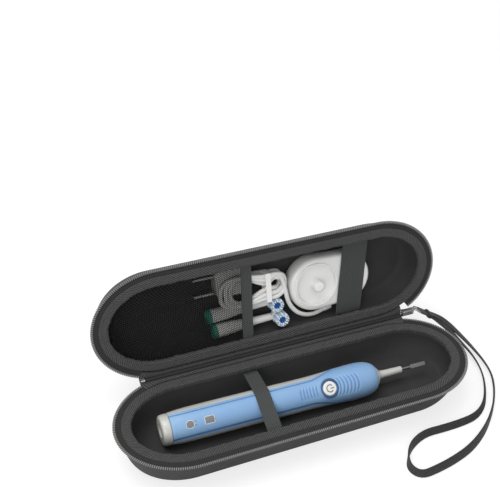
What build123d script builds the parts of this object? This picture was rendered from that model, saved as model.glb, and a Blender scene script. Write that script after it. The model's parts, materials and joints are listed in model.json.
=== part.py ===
from build123d import *
import os
from math import asin, atan2, cos, degrees, hypot, pi, radians, sin, tan

os.makedirs("parts", exist_ok=True)

# Zip-up travel case for an electric toothbrush, standing open, with its contents.
# Millimetres. +X runs along the case, +Y towards the hinge, +Z up.
# The origin is the middle of the flat under the base.

# --- case: driving dimensions -----------------------------------------------------------
case_length = 264.0        # over the zip coil
case_width = 78.8
end_reach = 47.7           # half length of each elliptical end
shell_depth = 28.0         # each half, from the zip plane to its outer floor
lid_open = 110.4           # degrees between the two zip planes at rest
shell_wall = 2.5
lining = 0.6
shell_edge = 4.0           # the shell's outer wall stands in from the coil line by this
wall_run = 8.5             # how far the wall curves in between the edge and the floor
edge_drop = 2.0            # the shell's edge lies this far from the zip plane
loose = 0.3                # clearance between pieces that lie beside each other
sewn = 0.1                 # gap where cloth is glued or sewn to what it covers

binding_outer = 4.8        # inset of the binding's outer edge from the coil line
binding_inner = 11.5
binding_face = 0.25        # the binding's face, from the zip plane
binding_skirt = 4.8        # how deep its inner flap reaches

coil_width = 2.2
coil_face = 0.15
coil_depth = 1.7
tape_flange = 0.7
tape_wall = 0.8
tape_drop = 7.0
zip_reach = 28.0           # from each end of the case to where the coils part from the hinge line
lid_zip_reach = 14.0       # the same at the lid's right end

spine_length = 164.0
spine_drop = 14.0
spine_bead = 1.1           # radius of the folded bead on the hinge line

strap_width = 10.7
strap_thick = 0.9
strap_x = -27.0            # where the base strap crosses the tray
strap_slant = 3.7          # degrees
strap_end_z = 20.6

band_width = 20.8
band_thick = 1.0
band_depth = 8.6
band_x = 67.4
band_slant = 8.6           # degrees
pocket_depth = 4.9
mesh_thick = 0.5
pocket_edge_x = -18.7
pocket_edge_width = 8.2
pocket_edge_thick = 0.9
pocket_slant = -2.4        # degrees

# --- handle: driving dimensions ---------------------------------------------------------
handle_end_room = 31.8     # from the case's left end to the handle's
handle_side = 4.9          # the handle's left end lies this far behind the middle
handle_yaw = -1.2          # degrees
handle_roll = 40.0         # degrees its panel is turned toward the front
handle_flat = 10.6         # the flat it lies on, below the axis
cap_length = 6.0
seam = 0.3
body_radius = 11.75
waist_radius = 11.55
head_radius = 12.8
shoulder_radius = 7.0
shoulder_at = 163.0
head_at = 146.0
button_at = 122.4
button_radius = 5.2
button_travel = 0.8
panel_thick = 1.8
panel_half_width = 9.5
panel_edge_low = 3.3       # above the axis
grip_edge_low = -2.5
cavity_radius = 8.2
grip_from = 128.0          # past here the soft grip wraps round the sides
neck_radius = 2.4
neck_end = 185.0
rod_radius = 1.0
tip_radius = 1.6
tip_from = 192.5
tip_end = 205.0
handle_travel = 10.0

# --- charger, lead and brush heads: driving dimensions ----------------------------------
charger_x = 38.5           # centre of the seat
charger_d = 37.0           # from the hinge line
charger_radius = 21.4
charger_tail = 25.0        # from the seat's centre to the tail's
charger_tail_radius = 20.0
charger_top = 10.0         # depth of its top face
charger_wall = 1.6
ring_radius = 17.2
ring_wall = 1.5
ring_height = 1.0
dish_depth = 2.2
coil_height = 2.4
peg_radius = 4.1
peg_height = 8.0
lead_diameter = 3.3
hank_d = 45.0
hank_left = -42.0
hank_top = 7.0
hank_thick = 7.0
tie_x = -1.0
tie_width = 4.0
plug_d = 52.0
plug_length = 24.0
plug_width = 20.0
plug_thick = 10.0
head_sleeve_radius = 5.4
head_neck_radius = 3.0
disc_radius = 5.5
bristle_length = 7.6

# --- zip slider, pull tab and wrist strap -----------------------------------------------
slider_length = 10.0
slider_back = 0.4          # the slider's tail reaches past the parting by this
slider_half_width = 2.4
pin_ahead = 1.3            # from the slider's nose to its pin
pin_z = 4.4                # above the zip plane
pull_droop = 36.0          # degrees below level
pull_width = 8.0
pull_thick = 2.2
pull_length = 20.0
wrist_strap_width = 4.2
strap_rest = 2.3           # height of the strap's centre where it lies on the table

# --- frames -----------------------------------------------------------------------------
half_width = case_width / 2
straight_half = case_length / 2 - end_reach
zip_start = case_length / 2 - zip_reach
slider_x = (zip_start - slider_back, zip_start - slider_back + slider_length)
pin_x = slider_x[1] + pin_ahead
handle_start = (handle_end_room - case_length / 2, handle_side)
base_rim = Plane(origin=(0, 0, shell_depth), x_dir=(1, 0, 0), z_dir=(0, 0, -1))
lid_turn = radians(lid_open)
lid_rim = Plane(
    origin=(0, half_width * (1 - cos(lid_turn)), shell_depth + half_width * sin(lid_turn)),
    x_dir=(1, 0, 0),
    z_dir=(0, sin(lid_turn), cos(lid_turn)),
)
BASE_HINGE = -1            # side of each rim plane, along its own Y, that the hinge is on
LID_HINGE = 1
inner_edge = shell_edge + shell_wall + sewn + lining
floor_depth = shell_depth - shell_wall - sewn - lining
rest_depth = floor_depth - loose     # what lies in the lid ends here


def lid_spot(x, d, depth):
    """Point at x along the case, d from the hinge line up the lid, depth into it."""
    return lid_rim.from_local_coords((x, half_width - d, depth))


def lid_plane(x, d, depth, turn=0.0):
    """Plane in the lid, facing its floor, turned about its own normal by turn degrees."""
    turned = lid_rim.x_dir * cos(radians(turn)) + lid_rim.y_dir * sin(radians(turn))
    return Plane(origin=lid_spot(x, d, depth), x_dir=turned, z_dir=lid_rim.z_dir)


# --- shapes that several pieces share ---------------------------------------------------
def rim_face(inset):
    """The rim outline drawn in by inset: two straights and two half ellipses, filled."""
    reach, half = end_reach - inset, half_width - inset
    with BuildLine() as outline:
        Line((-straight_half, half), (straight_half, half))
        EllipticalCenterArc((straight_half, 0), reach, half, start_angle=-90, arc_size=180)
        Line((straight_half, -half), (-straight_half, -half))
        EllipticalCenterArc((-straight_half, 0), reach, half, start_angle=90, arc_size=180)
    make_face(outline.edges())


def tray(rim, edge, depth, mode=Mode.ADD):
    """Solid bowl under a rim plane, its wall a quarter ellipse in section."""
    sections = []
    steps = 5
    for step in range(steps + 1):
        angle = step / steps * pi / 2
        level = edge_drop + (depth - edge_drop) * sin(angle)
        with BuildSketch(rim.offset(level)) as section:
            rim_face(edge + wall_run * (1 - cos(angle)))
        sections.append(section.sketch)
    loft(sections, mode=mode)


def rim_ring(rim, outer, inner, near, far):
    """Flat ring that follows the rim, between two insets and two depths."""
    with BuildSketch(rim.offset(near)) as ring:
        rim_face(outer)
        with BuildSketch(mode=Mode.PRIVATE) as hole:
            rim_face(inner)
        add(hole.sketch, mode=Mode.SUBTRACT)
    extrude(ring.sketch, amount=far - near)


def hinge_gap(rim, side, left, right):
    """Clears the hinge side of a ring between two places along the case."""
    reach = half_width
    with BuildSketch(rim.offset(-tape_drop)) as gap:
        with Locations(((left + right) / 2, side * (half_width / 2 + reach / 2))):
            Rectangle(right - left, half_width)
    extrude(gap.sketch, amount=3 * tape_drop, mode=Mode.SUBTRACT)


def shell(rim):
    tray(rim, shell_edge, shell_depth)
    sections_inner = shell_edge + shell_wall
    tray(rim, sections_inner, shell_depth - shell_wall, mode=Mode.SUBTRACT)


def shell_lining(rim):
    skin = shell_edge + shell_wall + sewn
    tray(rim, skin, shell_depth - shell_wall - sewn)
    tray(rim, skin + lining, floor_depth, mode=Mode.SUBTRACT)


def rim_binding(rim):
    """Woven edge binding: a face over the shell's edge and a flap inside the lining."""
    flap_outer = inner_edge + 2 * sewn
    rim_ring(rim, binding_outer, binding_inner, binding_face, edge_drop - sewn)
    rim_ring(rim, flap_outer, binding_inner - sewn * 5, edge_drop - sewn, binding_skirt)


def zip_tape(rim, side, left, right):
    flange_inner = binding_outer - loose + sewn
    rim_ring(rim, coil_width / 2 + sewn, flange_inner, tape_near, tape_near + tape_flange)
    leg = shell_edge - loose
    rim_ring(rim, leg - tape_wall, leg, tape_near + tape_flange, tape_drop)
    hinge_gap(rim, side, left, right)


def zip_coil(rim, side, left, right):
    rim_ring(rim, -coil_width / 2, coil_width / 2, coil_face, coil_depth)
    hinge_gap(rim, side, left, right)


def cord_radii(points):
    """Largest tidy arc at each corner: 0.45 of the shorter run over tan(half the turn)."""
    radii = []
    for before, here, after in zip(points, points[1:], points[2:]):
        first, second = Vector(here) - Vector(before), Vector(after) - Vector(here)
        half_turn = radians(first.get_angle(second)) / 2
        radii.append(0.45 * min(first.length, second.length) / tan(half_turn))
    return radii


def cord(points, diameter, name):
    """Tube along straight runs joined by tangent arcs."""
    radii = cord_radii(points)
    with BuildPart() as tube:
        with BuildLine() as route:
            FilletPolyline(*points, radius=radii)
        path = route.wires()[0]
        with BuildSketch(Plane(origin=path @ 0, z_dir=path % 0)):
            Circle(diameter / 2)
        sweep(path=path)
    ideal = pi * diameter**2 / 4 * path.length
    print(name, "length", round(path.length, 1), "volume ratio", round(tube.part.volume / ideal, 4))
    print(name, "radii", [round(r, 1) for r in radii])
    return tube


tape_near = 0.9

# --- base half of the case --------------------------------------------------------------
with BuildPart() as base_shell:
    shell(base_rim)

with BuildPart() as base_lining:
    shell_lining(base_rim)

with BuildPart() as base_binding:
    rim_binding(base_rim)

with BuildPart() as base_zip_tape:
    zip_tape(base_rim, BASE_HINGE, -zip_start, zip_start)

with BuildPart() as base_zip_coil:
    zip_coil(base_rim, BASE_HINGE, -zip_start, zip_start)


def spine_leaf(rim, side, flange_start):
    """Half of the hinge strip: glued down the shell's back wall, folded over its edge."""
    back = half_width - shell_edge + loose
    length = spine_length
    with BuildSketch(rim.offset(tape_near + tape_flange)) as leaf:
        with Locations((0, side * (back + tape_wall / 2))):
            Rectangle(length, tape_wall)
    extrude(leaf.sketch, amount=spine_drop - tape_near - tape_flange)
    reach = half_width - flange_start
    with BuildSketch(rim.offset(tape_near)) as fold:
        with Locations((0, side * (back + reach) / 2)):
            Rectangle(length, reach - back)
    extrude(fold.sketch, amount=tape_flange)


with BuildPart() as spine_base:
    spine_leaf(base_rim, BASE_HINGE, 0.0)
    bead_left, bead_right = -zip_start, slider_x[1]
    with BuildSketch(Plane(origin=(bead_left, half_width, shell_depth), z_dir=(1, 0, 0))):
        Circle(spine_bead)
    extrude(amount=bead_right - bead_left)

# elastic strap over the handle, sewn under the binding on both sides
handle_z = shell_depth - floor_depth + loose + handle_flat
strap_axis_s = (strap_x - handle_start[0]) / cos(radians(handle_yaw))
strap_mid = (strap_x, handle_start[1] + strap_axis_s * sin(radians(handle_yaw)), 0)
strap_inner = body_radius + 2.5 * loose


def tangent_point(end, centre, radius, side):
    """Where a line from end touches a circle, on the upper side."""
    span, rise = end[0] - centre[0], end[1] - centre[1]
    reach = hypot(span, rise)
    angle = atan2(rise, span) + side * (pi / 2 - asin(radius / reach))
    return centre[0] + radius * cos(angle), centre[1] + radius * sin(angle)


with BuildPart() as base_strap:
    slant = radians(strap_slant)
    strap_plane = Plane(
        origin=strap_mid, x_dir=(sin(slant), cos(slant), 0), z_dir=(cos(slant), -sin(slant), 0)
    )
    strap_middle = strap_inner + strap_thick / 2
    wall_y = half_width - inner_edge - loose - 0.3
    front_end = (-wall_y - strap_mid[1], strap_end_z)
    back_end = (wall_y - strap_mid[1], strap_end_z)
    top = (0, handle_z)
    with BuildSketch(strap_plane.offset(-strap_width / 2)):
        front_touch = tangent_point(front_end, top, strap_middle, -1)
        back_touch = tangent_point(back_end, top, strap_middle, 1)
        with BuildLine() as strap_run:
            Line(front_end, front_touch)
            ThreePointArc(front_touch, (0, handle_z + strap_middle), back_touch)
            Line(back_touch, back_end)
        trace(strap_run.line, strap_thick)
    extrude(amount=strap_width)

# --- lid half of the case ---------------------------------------------------------------
lid_zip_right = case_length / 2 - lid_zip_reach

with BuildPart() as lid_shell:
    shell(lid_rim)

with BuildPart() as lid_lining:
    shell_lining(lid_rim)

with BuildPart() as lid_binding:
    rim_binding(lid_rim)

with BuildPart() as lid_zip_tape:
    zip_tape(lid_rim, LID_HINGE, -zip_start, lid_zip_right)

with BuildPart() as lid_zip_coil:
    zip_coil(lid_rim, LID_HINGE, -zip_start, lid_zip_right)

with BuildPart() as spine_lid:
    spine_leaf(lid_rim, LID_HINGE, spine_bead + loose)

with BuildPart() as lid_band:
    with BuildSketch(lid_plane(band_x, half_width, band_depth, -band_slant)):
        Rectangle(band_width, 2 * half_width)
    extrude(amount=band_thick)
    with BuildSketch(lid_rim.offset(band_depth)) as band_room:
        rim_face(inner_edge + 2 * loose)
    extrude(band_room.sketch, amount=band_thick, mode=Mode.INTERSECT)

with BuildPart() as pocket_edge:
    with BuildSketch(lid_plane(pocket_edge_x, half_width, pocket_depth, -pocket_slant)):
        Rectangle(pocket_edge_width, 2 * half_width)
    extrude(amount=pocket_edge_thick)
    with BuildSketch(lid_rim.offset(pocket_depth)) as edge_room:
        rim_face(inner_edge + 2 * loose)
    extrude(edge_room.sketch, amount=pocket_edge_thick, mode=Mode.INTERSECT)

with BuildPart() as mesh_pocket:
    with BuildSketch(lid_rim.offset(pocket_depth)) as mesh_room:
        rim_face(inner_edge + 2 * loose)
    extrude(mesh_room.sketch, amount=mesh_thick)
    mouth = lid_plane(pocket_edge_x - pocket_edge_width / 2 - sewn, half_width, pocket_depth, -pocket_slant)
    split(bisect_by=Plane(origin=mouth.origin, z_dir=mouth.x_dir), keep=Keep.BOTTOM)

# --- charger in the lid -----------------------------------------------------------------
charger_rest = rest_depth
plate_thick = 2.0


def charger_outline(inset):
    with BuildSketch(mode=Mode.PRIVATE) as outline:
        Circle(charger_radius - inset)
        with Locations((charger_tail, 0)):
            Circle(charger_tail_radius - inset)
        make_hull()
    add(outline.sketch)


def charger_slab(near, far, inset, mode=Mode.ADD):
    with BuildSketch(lid_plane(charger_x, charger_d, near)) as slab:
        charger_outline(inset)
    extrude(slab.sketch, amount=far - near, mode=mode)


def charger_round(near, far, radius, mode=Mode.ADD):
    with BuildSketch(lid_plane(charger_x, charger_d, near)) as disc:
        Circle(radius)
    extrude(disc.sketch, amount=far - near, mode=mode)


ring_top = charger_top - ring_height
dish = charger_top + dish_depth
plate_near = charger_rest - plate_thick
plate_inset = charger_wall + 1.4

with BuildPart() as charger_housing:
    charger_slab(charger_top, plate_near - sewn, 0)
    charger_round(ring_top, charger_top, ring_radius)
    charger_slab(charger_top + charger_wall, plate_near, charger_wall, mode=Mode.SUBTRACT)
    charger_round(ring_top, plate_near - sewn, ring_radius)
    charger_round(ring_top, dish, ring_radius - ring_wall, mode=Mode.SUBTRACT)
    charger_round(dish + charger_wall, plate_near, ring_radius - charger_wall, mode=Mode.SUBTRACT)
    charger_round(dish - peg_height, dish + 1, peg_radius)
    charger_round(dish - peg_height + 1.2, dish + charger_wall, peg_radius - 1.2, mode=Mode.SUBTRACT)

with BuildPart() as charger_base:
    charger_slab(plate_near, charger_rest, plate_inset)

with BuildPart() as charger_core:
    core_top = dish - peg_height + 1.2 + loose
    charger_round(core_top, plate_near - loose, peg_radius - 1.2 - sewn)

with BuildPart() as charger_coil:
    coil_near = dish + charger_wall + sewn
    charger_round(coil_near, coil_near + coil_height, ring_radius - charger_wall - 3.0)
    charger_round(coil_near, coil_near + coil_height, peg_radius + 1.0, mode=Mode.SUBTRACT)

# --- charger lead -----------------------------------------------------------------------
# route in the lid: along the case, from the hinge line, depth
lead_route = [
    (46.0, 13.0, 17.0),
    (41.0, 11.9, 15.7),
    (32.5, 12.3, 14.0),
    (24.5, 16.0, 12.2),
    (19.0, 21.5, 10.9),
    (15.6, 27.5, 10.3),
    (14.6, 33.4, 10.5),
]
lead_start, lead_next = Vector(lid_spot(*lead_route[0])), Vector(lid_spot(*lead_route[1]))
lead_dir = (lead_next - lead_start).normalized()

charger_lead = cord([lid_spot(*spot) for spot in lead_route], lead_diameter, "charger_lead")

with BuildPart() as lead_gland:
    gland_length = 6.0
    gland_start = lead_start - lead_dir * gland_length
    with BuildSketch(Plane(origin=gland_start, z_dir=lead_dir)) as gland_root:
        Circle(lead_diameter / 2 + 1.4)
    with BuildSketch(Plane(origin=lead_start, z_dir=lead_dir)) as gland_nose:
        Circle(lead_diameter / 2 + 0.5)
    loft([gland_root.sketch, gland_nose.sketch])
    charger_slab(charger_top, plate_near, -loose / 3, mode=Mode.SUBTRACT)

hank_foot = rest_depth
hank_right = 15.9
hank_step = 2.0


def hank_face():
    """Bow-tie outline of the tied hank, about its own middle."""
    waist = 10.3
    lobe = 12.8
    with BuildLine() as outline:
        Polyline(
            (hank_left + 3, lobe - 4), (hank_left + 10, lobe), (tie_x - tie_width / 2, waist),
            (tie_x + tie_width / 2, waist), (hank_right - 4, lobe - 1), (hank_right, lobe - 4),
            (hank_right, 4 - lobe), (hank_right - 4, 1.4 - lobe), (tie_x + tie_width / 2, -waist),
            (tie_x - tie_width / 2, -waist), (hank_left + 10, -lobe), (hank_left + 3, 4 - lobe),
            close=True,
        )
    make_face(outline.edges())


with BuildPart() as lead_hank:
    with BuildSketch(lid_plane(0, hank_d, hank_top)) as hank_sketch:
        hank_face()
    extrude(hank_sketch.sketch, amount=hank_thick)
    with BuildSketch(lid_plane(0, hank_d, hank_top + hank_thick)) as hank_deep:
        with Locations(((hank_step + hank_right) / 2, 0)):
            Rectangle(hank_right - hank_step, 20)
    extrude(hank_deep.sketch, amount=hank_foot - hank_top - hank_thick)
    with BuildSketch(lid_plane(charger_x, charger_d, hank_top)) as charger_clear:
        Circle(charger_radius + loose)
    extrude(charger_clear.sketch, amount=hank_foot - hank_top, mode=Mode.SUBTRACT)

with BuildPart() as lead_tie:
    tie_inner = 10.3 + sewn
    tie_skin = 0.8
    with BuildSketch(lid_plane(tie_x, hank_d, hank_top - sewn - tie_skin)) as tie_outer:
        Rectangle(tie_width, 2 * (tie_inner + tie_skin))
    extrude(tie_outer.sketch, amount=hank_thick + 2 * (sewn + tie_skin))
    with BuildSketch(lid_plane(tie_x, hank_d, hank_top - sewn)) as tie_hole:
        Rectangle(tie_width, 2 * tie_inner)
    extrude(tie_hole.sketch, amount=hank_thick + 2 * sewn, mode=Mode.SUBTRACT)

plug_right = -14.0
plug_near = rest_depth - plug_thick
plug_mid = rest_depth - plug_thick / 2

with BuildPart() as plug_body:
    with BuildSketch(lid_plane(plug_right - plug_length / 2, plug_d, plug_near)):
        RectangleRounded(plug_length, plug_width, 3.0)
    extrude(amount=plug_thick)
    relief = Plane(origin=lid_spot(plug_right - 1, plug_d, plug_mid), x_dir=(0, 0, 1), z_dir=(1, 0, 0))
    relief_length = hank_step - plug_right + 1
    with BuildSketch(relief) as relief_root:
        Circle(3.4)
    with BuildSketch(relief.offset(relief_length)) as relief_nose:
        Circle(lead_diameter / 2 + 0.5)
    loft([relief_root.sketch, relief_nose.sketch])

with BuildPart() as plug_blades:
    blade_length = 16.0
    with BuildSketch(lid_plane(plug_right - plug_length - blade_length / 2, plug_d, plug_mid - 3.2)):
        with GridLocations(0, 12.7, 1, 2):
            Rectangle(blade_length, 1.5)
    extrude(amount=6.4)

# --- two spare brush heads --------------------------------------------------------------
# disc and foot of each head: along the case, from the hinge line; its lift off the lid's floor
head_spots = {1: ((5.5, 28.8), (-46.0, 27.6), 0.7), 2: ((8.2, 17.3), (-43.0, 15.9), 2.5)}
head_parts = {}


def head_frame(number):
    """Plane on a head's axis: X from its foot towards its disc, Z towards the lid's floor."""
    (disc_x, disc_d), (foot_x, foot_d), lift = head_spots[number]
    axis_depth = rest_depth - head_sleeve_radius - lift
    turn = degrees(atan2(foot_d - disc_d, disc_x - foot_x))
    length = hypot(disc_x - foot_x, disc_d - foot_d)
    return lid_plane(foot_x, foot_d, axis_depth, turn), length


for number in head_spots:
    frame, length = head_frame(number)
    ring_length = 3.0
    neck_from = 30.0
    neck_tongue = 1.4
    with BuildPart() as sleeve:
        with BuildSketch(frame):
            with BuildLine():
                Polyline(
                    (ring_length, 0), (ring_length, head_sleeve_radius - 0.2),
                    (neck_from - 12, head_sleeve_radius - 0.9),
                    (neck_from, head_neck_radius + 0.2),
                    (length - disc_radius - loose, head_neck_radius - 0.2),
                    (length - disc_radius - loose, neck_tongue),
                    (length - disc_radius + 2, neck_tongue), (length - disc_radius + 2, 0),
                    close=True,
                )
            make_face()
        revolve(axis=Axis(frame.origin, frame.x_dir))
        bore = Plane(origin=frame.origin, z_dir=frame.x_dir)
        with BuildSketch(bore):
            Circle(head_sleeve_radius - 2.0)
        extrude(amount=neck_from - 10, mode=Mode.SUBTRACT)
        hub = Plane(origin=frame.from_local_coords((length, 0, -1.6)), x_dir=frame.x_dir, z_dir=frame.z_dir)
        with BuildSketch(hub):
            Circle(disc_radius - 0.6)
        extrude(amount=4.2)
    with BuildPart() as colour_ring:
        with BuildSketch(bore):
            Circle(head_sleeve_radius)
            Circle(head_sleeve_radius - 2.0, mode=Mode.SUBTRACT)
        extrude(amount=ring_length - sewn)
    with BuildPart() as disc:
        with BuildSketch(hub.offset(-2.2)):
            Circle(disc_radius)
        extrude(amount=2.0)
    with BuildPart() as bristles:
        with BuildSketch(hub.offset(-2.2 - bristle_length)):
            with PolarLocations(disc_radius - 1.3, 12):
                Circle(0.8)
            with PolarLocations(disc_radius - 3.2, 6):
                Circle(0.8)
            Circle(0.9)
        extrude(amount=bristle_length)
    head_parts[f"head{number}_sleeve"] = sleeve
    head_parts[f"head{number}_colour_ring"] = colour_ring
    head_parts[f"head{number}_disc"] = disc
    head_parts[f"head{number}_bristles"] = bristles
    print(f"head{number} disc axis at", hub.origin, "along", hub.z_dir)

# --- handle -----------------------------------------------------------------------------
handle_dir = Vector(cos(radians(handle_yaw)), sin(radians(handle_yaw)), 0)
handle_lying = Plane(origin=(*handle_start, handle_z), x_dir=handle_dir, z_dir=(0, 0, 1))
panel_up = handle_lying.z_dir * cos(radians(handle_roll)) - handle_lying.y_dir * sin(radians(handle_roll))
handle_axis = Plane(origin=handle_lying.origin, x_dir=handle_dir, z_dir=panel_up)
shell_start = cap_length + seam
nose = shoulder_at - 5.5


def along(s, lift=0.0):
    """Plane across the handle at s from its end; its X is across the panel, its Y out through it."""
    spot = handle_axis.from_local_coords((s, 0, lift))
    return Plane(origin=spot, x_dir=handle_axis.y_dir, z_dir=handle_dir)


def above(lift):
    """Plane facing out through the panel, lift from the handle's axis; its X is along it."""
    return handle_axis.offset(lift)


def handle_form(inset, start, end, mode=Mode.ADD):
    """The handle's outer form drawn in by inset, between two places along it."""
    with BuildSketch(Plane(origin=handle_axis.origin, x_dir=handle_dir, z_dir=-handle_axis.y_dir)) as half:
        with BuildLine() as profile:
            side = Spline(
                (shell_start, body_radius - 0.9 - inset), (30, body_radius - inset),
                (70, body_radius - inset), (104, waist_radius - inset),
                (head_at, head_radius - inset), (nose, body_radius - 0.6 - inset),
                tangents=[(1, 0.06), (1, -0.25)],
            )
            nose_end = (shoulder_at, max(shoulder_radius - inset, 0.5))
            shoulder = Spline(side @ 1, nose_end, tangents=[side % 1, (0.35, -1)])
            Polyline(nose_end, (shoulder_at, 0), (shell_start, 0), side @ 0)
        make_face(profile.edges())
        keep = Rectangle(end - start, 2 * head_radius, align=(Align.MIN, Align.CENTER), mode=Mode.PRIVATE)
        add(Pos(start, 0) * keep, mode=Mode.INTERSECT)
    revolve(half.sketch, axis=Axis(handle_axis.origin, handle_dir), mode=mode)


def across(s_from, s_to, radius, lift=0.0, mode=Mode.ADD):
    """Round bar along the handle, its middle lift above the axis."""
    with BuildSketch(along(s_from, lift)) as disc:
        Circle(radius)
    extrude(disc.sketch, amount=s_to - s_from, mode=mode)


def flatten():
    """Keeps what lies above the flat the handle lies on."""
    tall = 3 * head_radius
    with BuildSketch(handle_lying.offset(-handle_flat)) as keep:
        Rectangle(tip_end, tall, align=(Align.MIN, Align.CENTER))
    extrude(keep.sketch, amount=tall, mode=Mode.INTERSECT)


def panel_form(grow):
    """Front panel and soft grip: a strip of the handle's skin that wraps round past grip_from."""
    panel_end = nose + 2.0 + grow
    wide = 3 * head_radius
    with BuildSketch(above(panel_edge_low - grow)) as strip:
        with Locations((shell_start, 0)):
            long = panel_end - shell_start
            Rectangle(long, 2 * (panel_half_width + grow), align=(Align.MIN, Align.CENTER))
    extrude(strip.sketch, amount=2 * head_radius)
    with BuildSketch(above(grip_edge_low - grow)) as wrap:
        with Locations((grip_from - grow, 0)):
            Rectangle(panel_end - grip_from + grow, wide, align=(Align.MIN, Align.CENTER))
    extrude(wrap.sketch, amount=2 * head_radius)
    handle_form(0, shell_start, panel_end, mode=Mode.INTERSECT)
    handle_form(panel_thick + grow, 0, tip_end, mode=Mode.SUBTRACT)


light_from, light_to = 141.0, 145.0
light_low, light_high = -2.6, 4.4
light_side = head_radius - panel_thick - 1.4


def light_form(grow, mode=Mode.ADD):
    """Arch under the panel whose two feet come out at the handle's sides."""
    with BuildSketch(along(light_from - grow)) as arch:
        Circle(head_radius - panel_thick - 3 * sewn + grow)
        Circle(cavity_radius + loose - grow, mode=Mode.SUBTRACT)
        for side in (-1, 1):
            with Locations((side * (light_side + 3), (light_low + light_high) / 2)):
                Rectangle(6 + 2 * grow, light_high - light_low + 2 * grow)
        with Locations((0, light_low - grow)):
            Rectangle(4 * head_radius, 2 * head_radius, align=(Align.CENTER, Align.MIN), mode=Mode.INTERSECT)
    extrude(arch.sketch, amount=light_to - light_from + 2 * grow, mode=mode)


def light_feet(grow, mode=Mode.SUBTRACT):
    """Room in the panel for the feet of the light arch."""
    with BuildSketch(along(light_from - grow)) as feet:
        for side in (-1, 1):
            with Locations((side * (light_side + 3 - grow), (light_low + light_high) / 2)):
                Rectangle(6 + 2 * grow, light_high - light_low + 2 * grow + 1.2)
    extrude(feet.sketch, amount=light_to - light_from + 2 * grow, mode=mode)


charge_place = (19.6, 5.8, 5.0)     # middle, length, width
battery_place = (32.9, 7.2, 5.0)


def window_plan(s, length, width, grow):
    with Locations((s, 0)):
        RectangleRounded(length + 2 * grow, width + 2 * grow, 0.8)


with BuildPart() as pressure_light:
    light_form(0)
    handle_form(0, 0, tip_end, mode=Mode.INTERSECT)

with BuildPart() as panel_room:
    panel_form(sewn)

with BuildPart() as rib_form:
    handle_form(-0.35, shell_start, nose)
    handle_form(0.3, 0, tip_end, mode=Mode.SUBTRACT)
    with BuildSketch(above(body_radius / 2)) as rib_plan:
        with Locations((button_at - 16.0, 0)):
            with GridLocations(2.4, 0, 6, 1):
                RectangleRounded(1.1, 7.4, 0.5)
        with Locations((button_at + 15.2, 0)):
            with GridLocations(2.8, 0, 6, 1):
                RectangleRounded(1.2, 12.0, 0.5)
    extrude(rib_plan.sketch, amount=2 * head_radius, mode=Mode.INTERSECT)

moat_radius = button_radius + 1.6
with BuildPart() as handle_panel:
    panel_form(0)
    add(rib_form.part)
    with BuildSketch(above(0)) as panel_holes:
        with Locations((button_at, 0)):
            Circle(moat_radius + sewn)
        window_plan(*charge_place, sewn)
        window_plan(*battery_place, sewn)
    extrude(panel_holes.sketch, amount=2 * head_radius, mode=Mode.SUBTRACT)
    light_feet(sewn)

with BuildPart() as charge_window:
    handle_form(0, shell_start, nose)
    handle_form(panel_thick, 0, tip_end, mode=Mode.SUBTRACT)
    with BuildSketch(above(0)) as charge_plan:
        window_plan(*charge_place, 0)
    extrude(charge_plan.sketch, amount=2 * head_radius, mode=Mode.INTERSECT)

with BuildPart() as battery_window:
    handle_form(0, shell_start, nose)
    handle_form(panel_thick, 0, tip_end, mode=Mode.SUBTRACT)
    with BuildSketch(above(0)) as battery_plan:
        window_plan(*battery_place, 0)
    extrude(battery_plan.sketch, amount=2 * head_radius, mode=Mode.INTERSECT)

with BuildPart() as button_seal:
    handle_form(0.5, shell_start, nose)
    handle_form(panel_thick, 0, tip_end, mode=Mode.SUBTRACT)
    with BuildSketch(above(0)) as seal_plan:
        with Locations((button_at, 0)):
            Circle(moat_radius)
            Circle(button_radius + loose, mode=Mode.SUBTRACT)
    extrude(seal_plan.sketch, amount=2 * head_radius, mode=Mode.INTERSECT)

button_foot = 8.2
button_under = 9.2
with BuildPart() as power_button:
    handle_form(-0.15, shell_start, nose)
    with BuildSketch(above(button_under)) as button_plan:
        with Locations((button_at, 0)):
            Circle(button_radius)
    extrude(button_plan.sketch, amount=head_radius, mode=Mode.INTERSECT)
    with BuildSketch(above(button_foot)) as stem_plan:
        with Locations((button_at, 0)):
            Circle(1.6)
    extrude(stem_plan.sketch, amount=button_under - button_foot + 0.2)

cavity_end = nose - 6.0
seal_radius = 5.0
rod_room = rod_radius + loose
with BuildPart() as handle_housing:
    handle_form(0, shell_start, shoulder_at)
    flatten()
    across(0, cavity_end, cavity_radius, mode=Mode.SUBTRACT)
    across(cavity_end - 1, shoulder_at + 1, seal_radius + sewn, mode=Mode.SUBTRACT)
    add(panel_room.part, mode=Mode.SUBTRACT)
    light_form(sewn, mode=Mode.SUBTRACT)
    with BuildSketch(above(0)) as button_room:
        with Locations((button_at, 0)):
            Circle(button_radius + loose)
    extrude(button_room.sketch, amount=2 * head_radius, mode=Mode.SUBTRACT)

cap_spigot = 3.0
well_depth = peg_height + 0.8
with BuildPart() as end_cap:
    with BuildSketch(along(0)) as cap_face:
        Circle(body_radius - 2.2)
    with BuildSketch(along(1.2)) as cap_edge:
        Circle(body_radius - 1.0)
    loft([cap_face.sketch, cap_edge.sketch])
    across(1.2, cap_length, body_radius - 1.0)
    flatten()
    across(cap_length, cap_length + cap_spigot, cavity_radius - sewn)
    across(1.8, cap_length + cap_spigot, cavity_radius - 1.4, mode=Mode.SUBTRACT)
    across(1.8, well_depth + 1.0, peg_radius + 1.2)
    across(0, well_depth, peg_radius + 0.5, mode=Mode.SUBTRACT)

with BuildPart() as charge_coil:
    across(2.2, 8.2, cavity_radius - 1.7)
    across(2.2, 8.2, peg_radius + 1.4, mode=Mode.SUBTRACT)

cell_drop = -1.9
with BuildPart() as cell:
    across(14.0, 96.0, 6.1, cell_drop)
    across(96.0, 97.2, 2.6, cell_drop)

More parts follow.
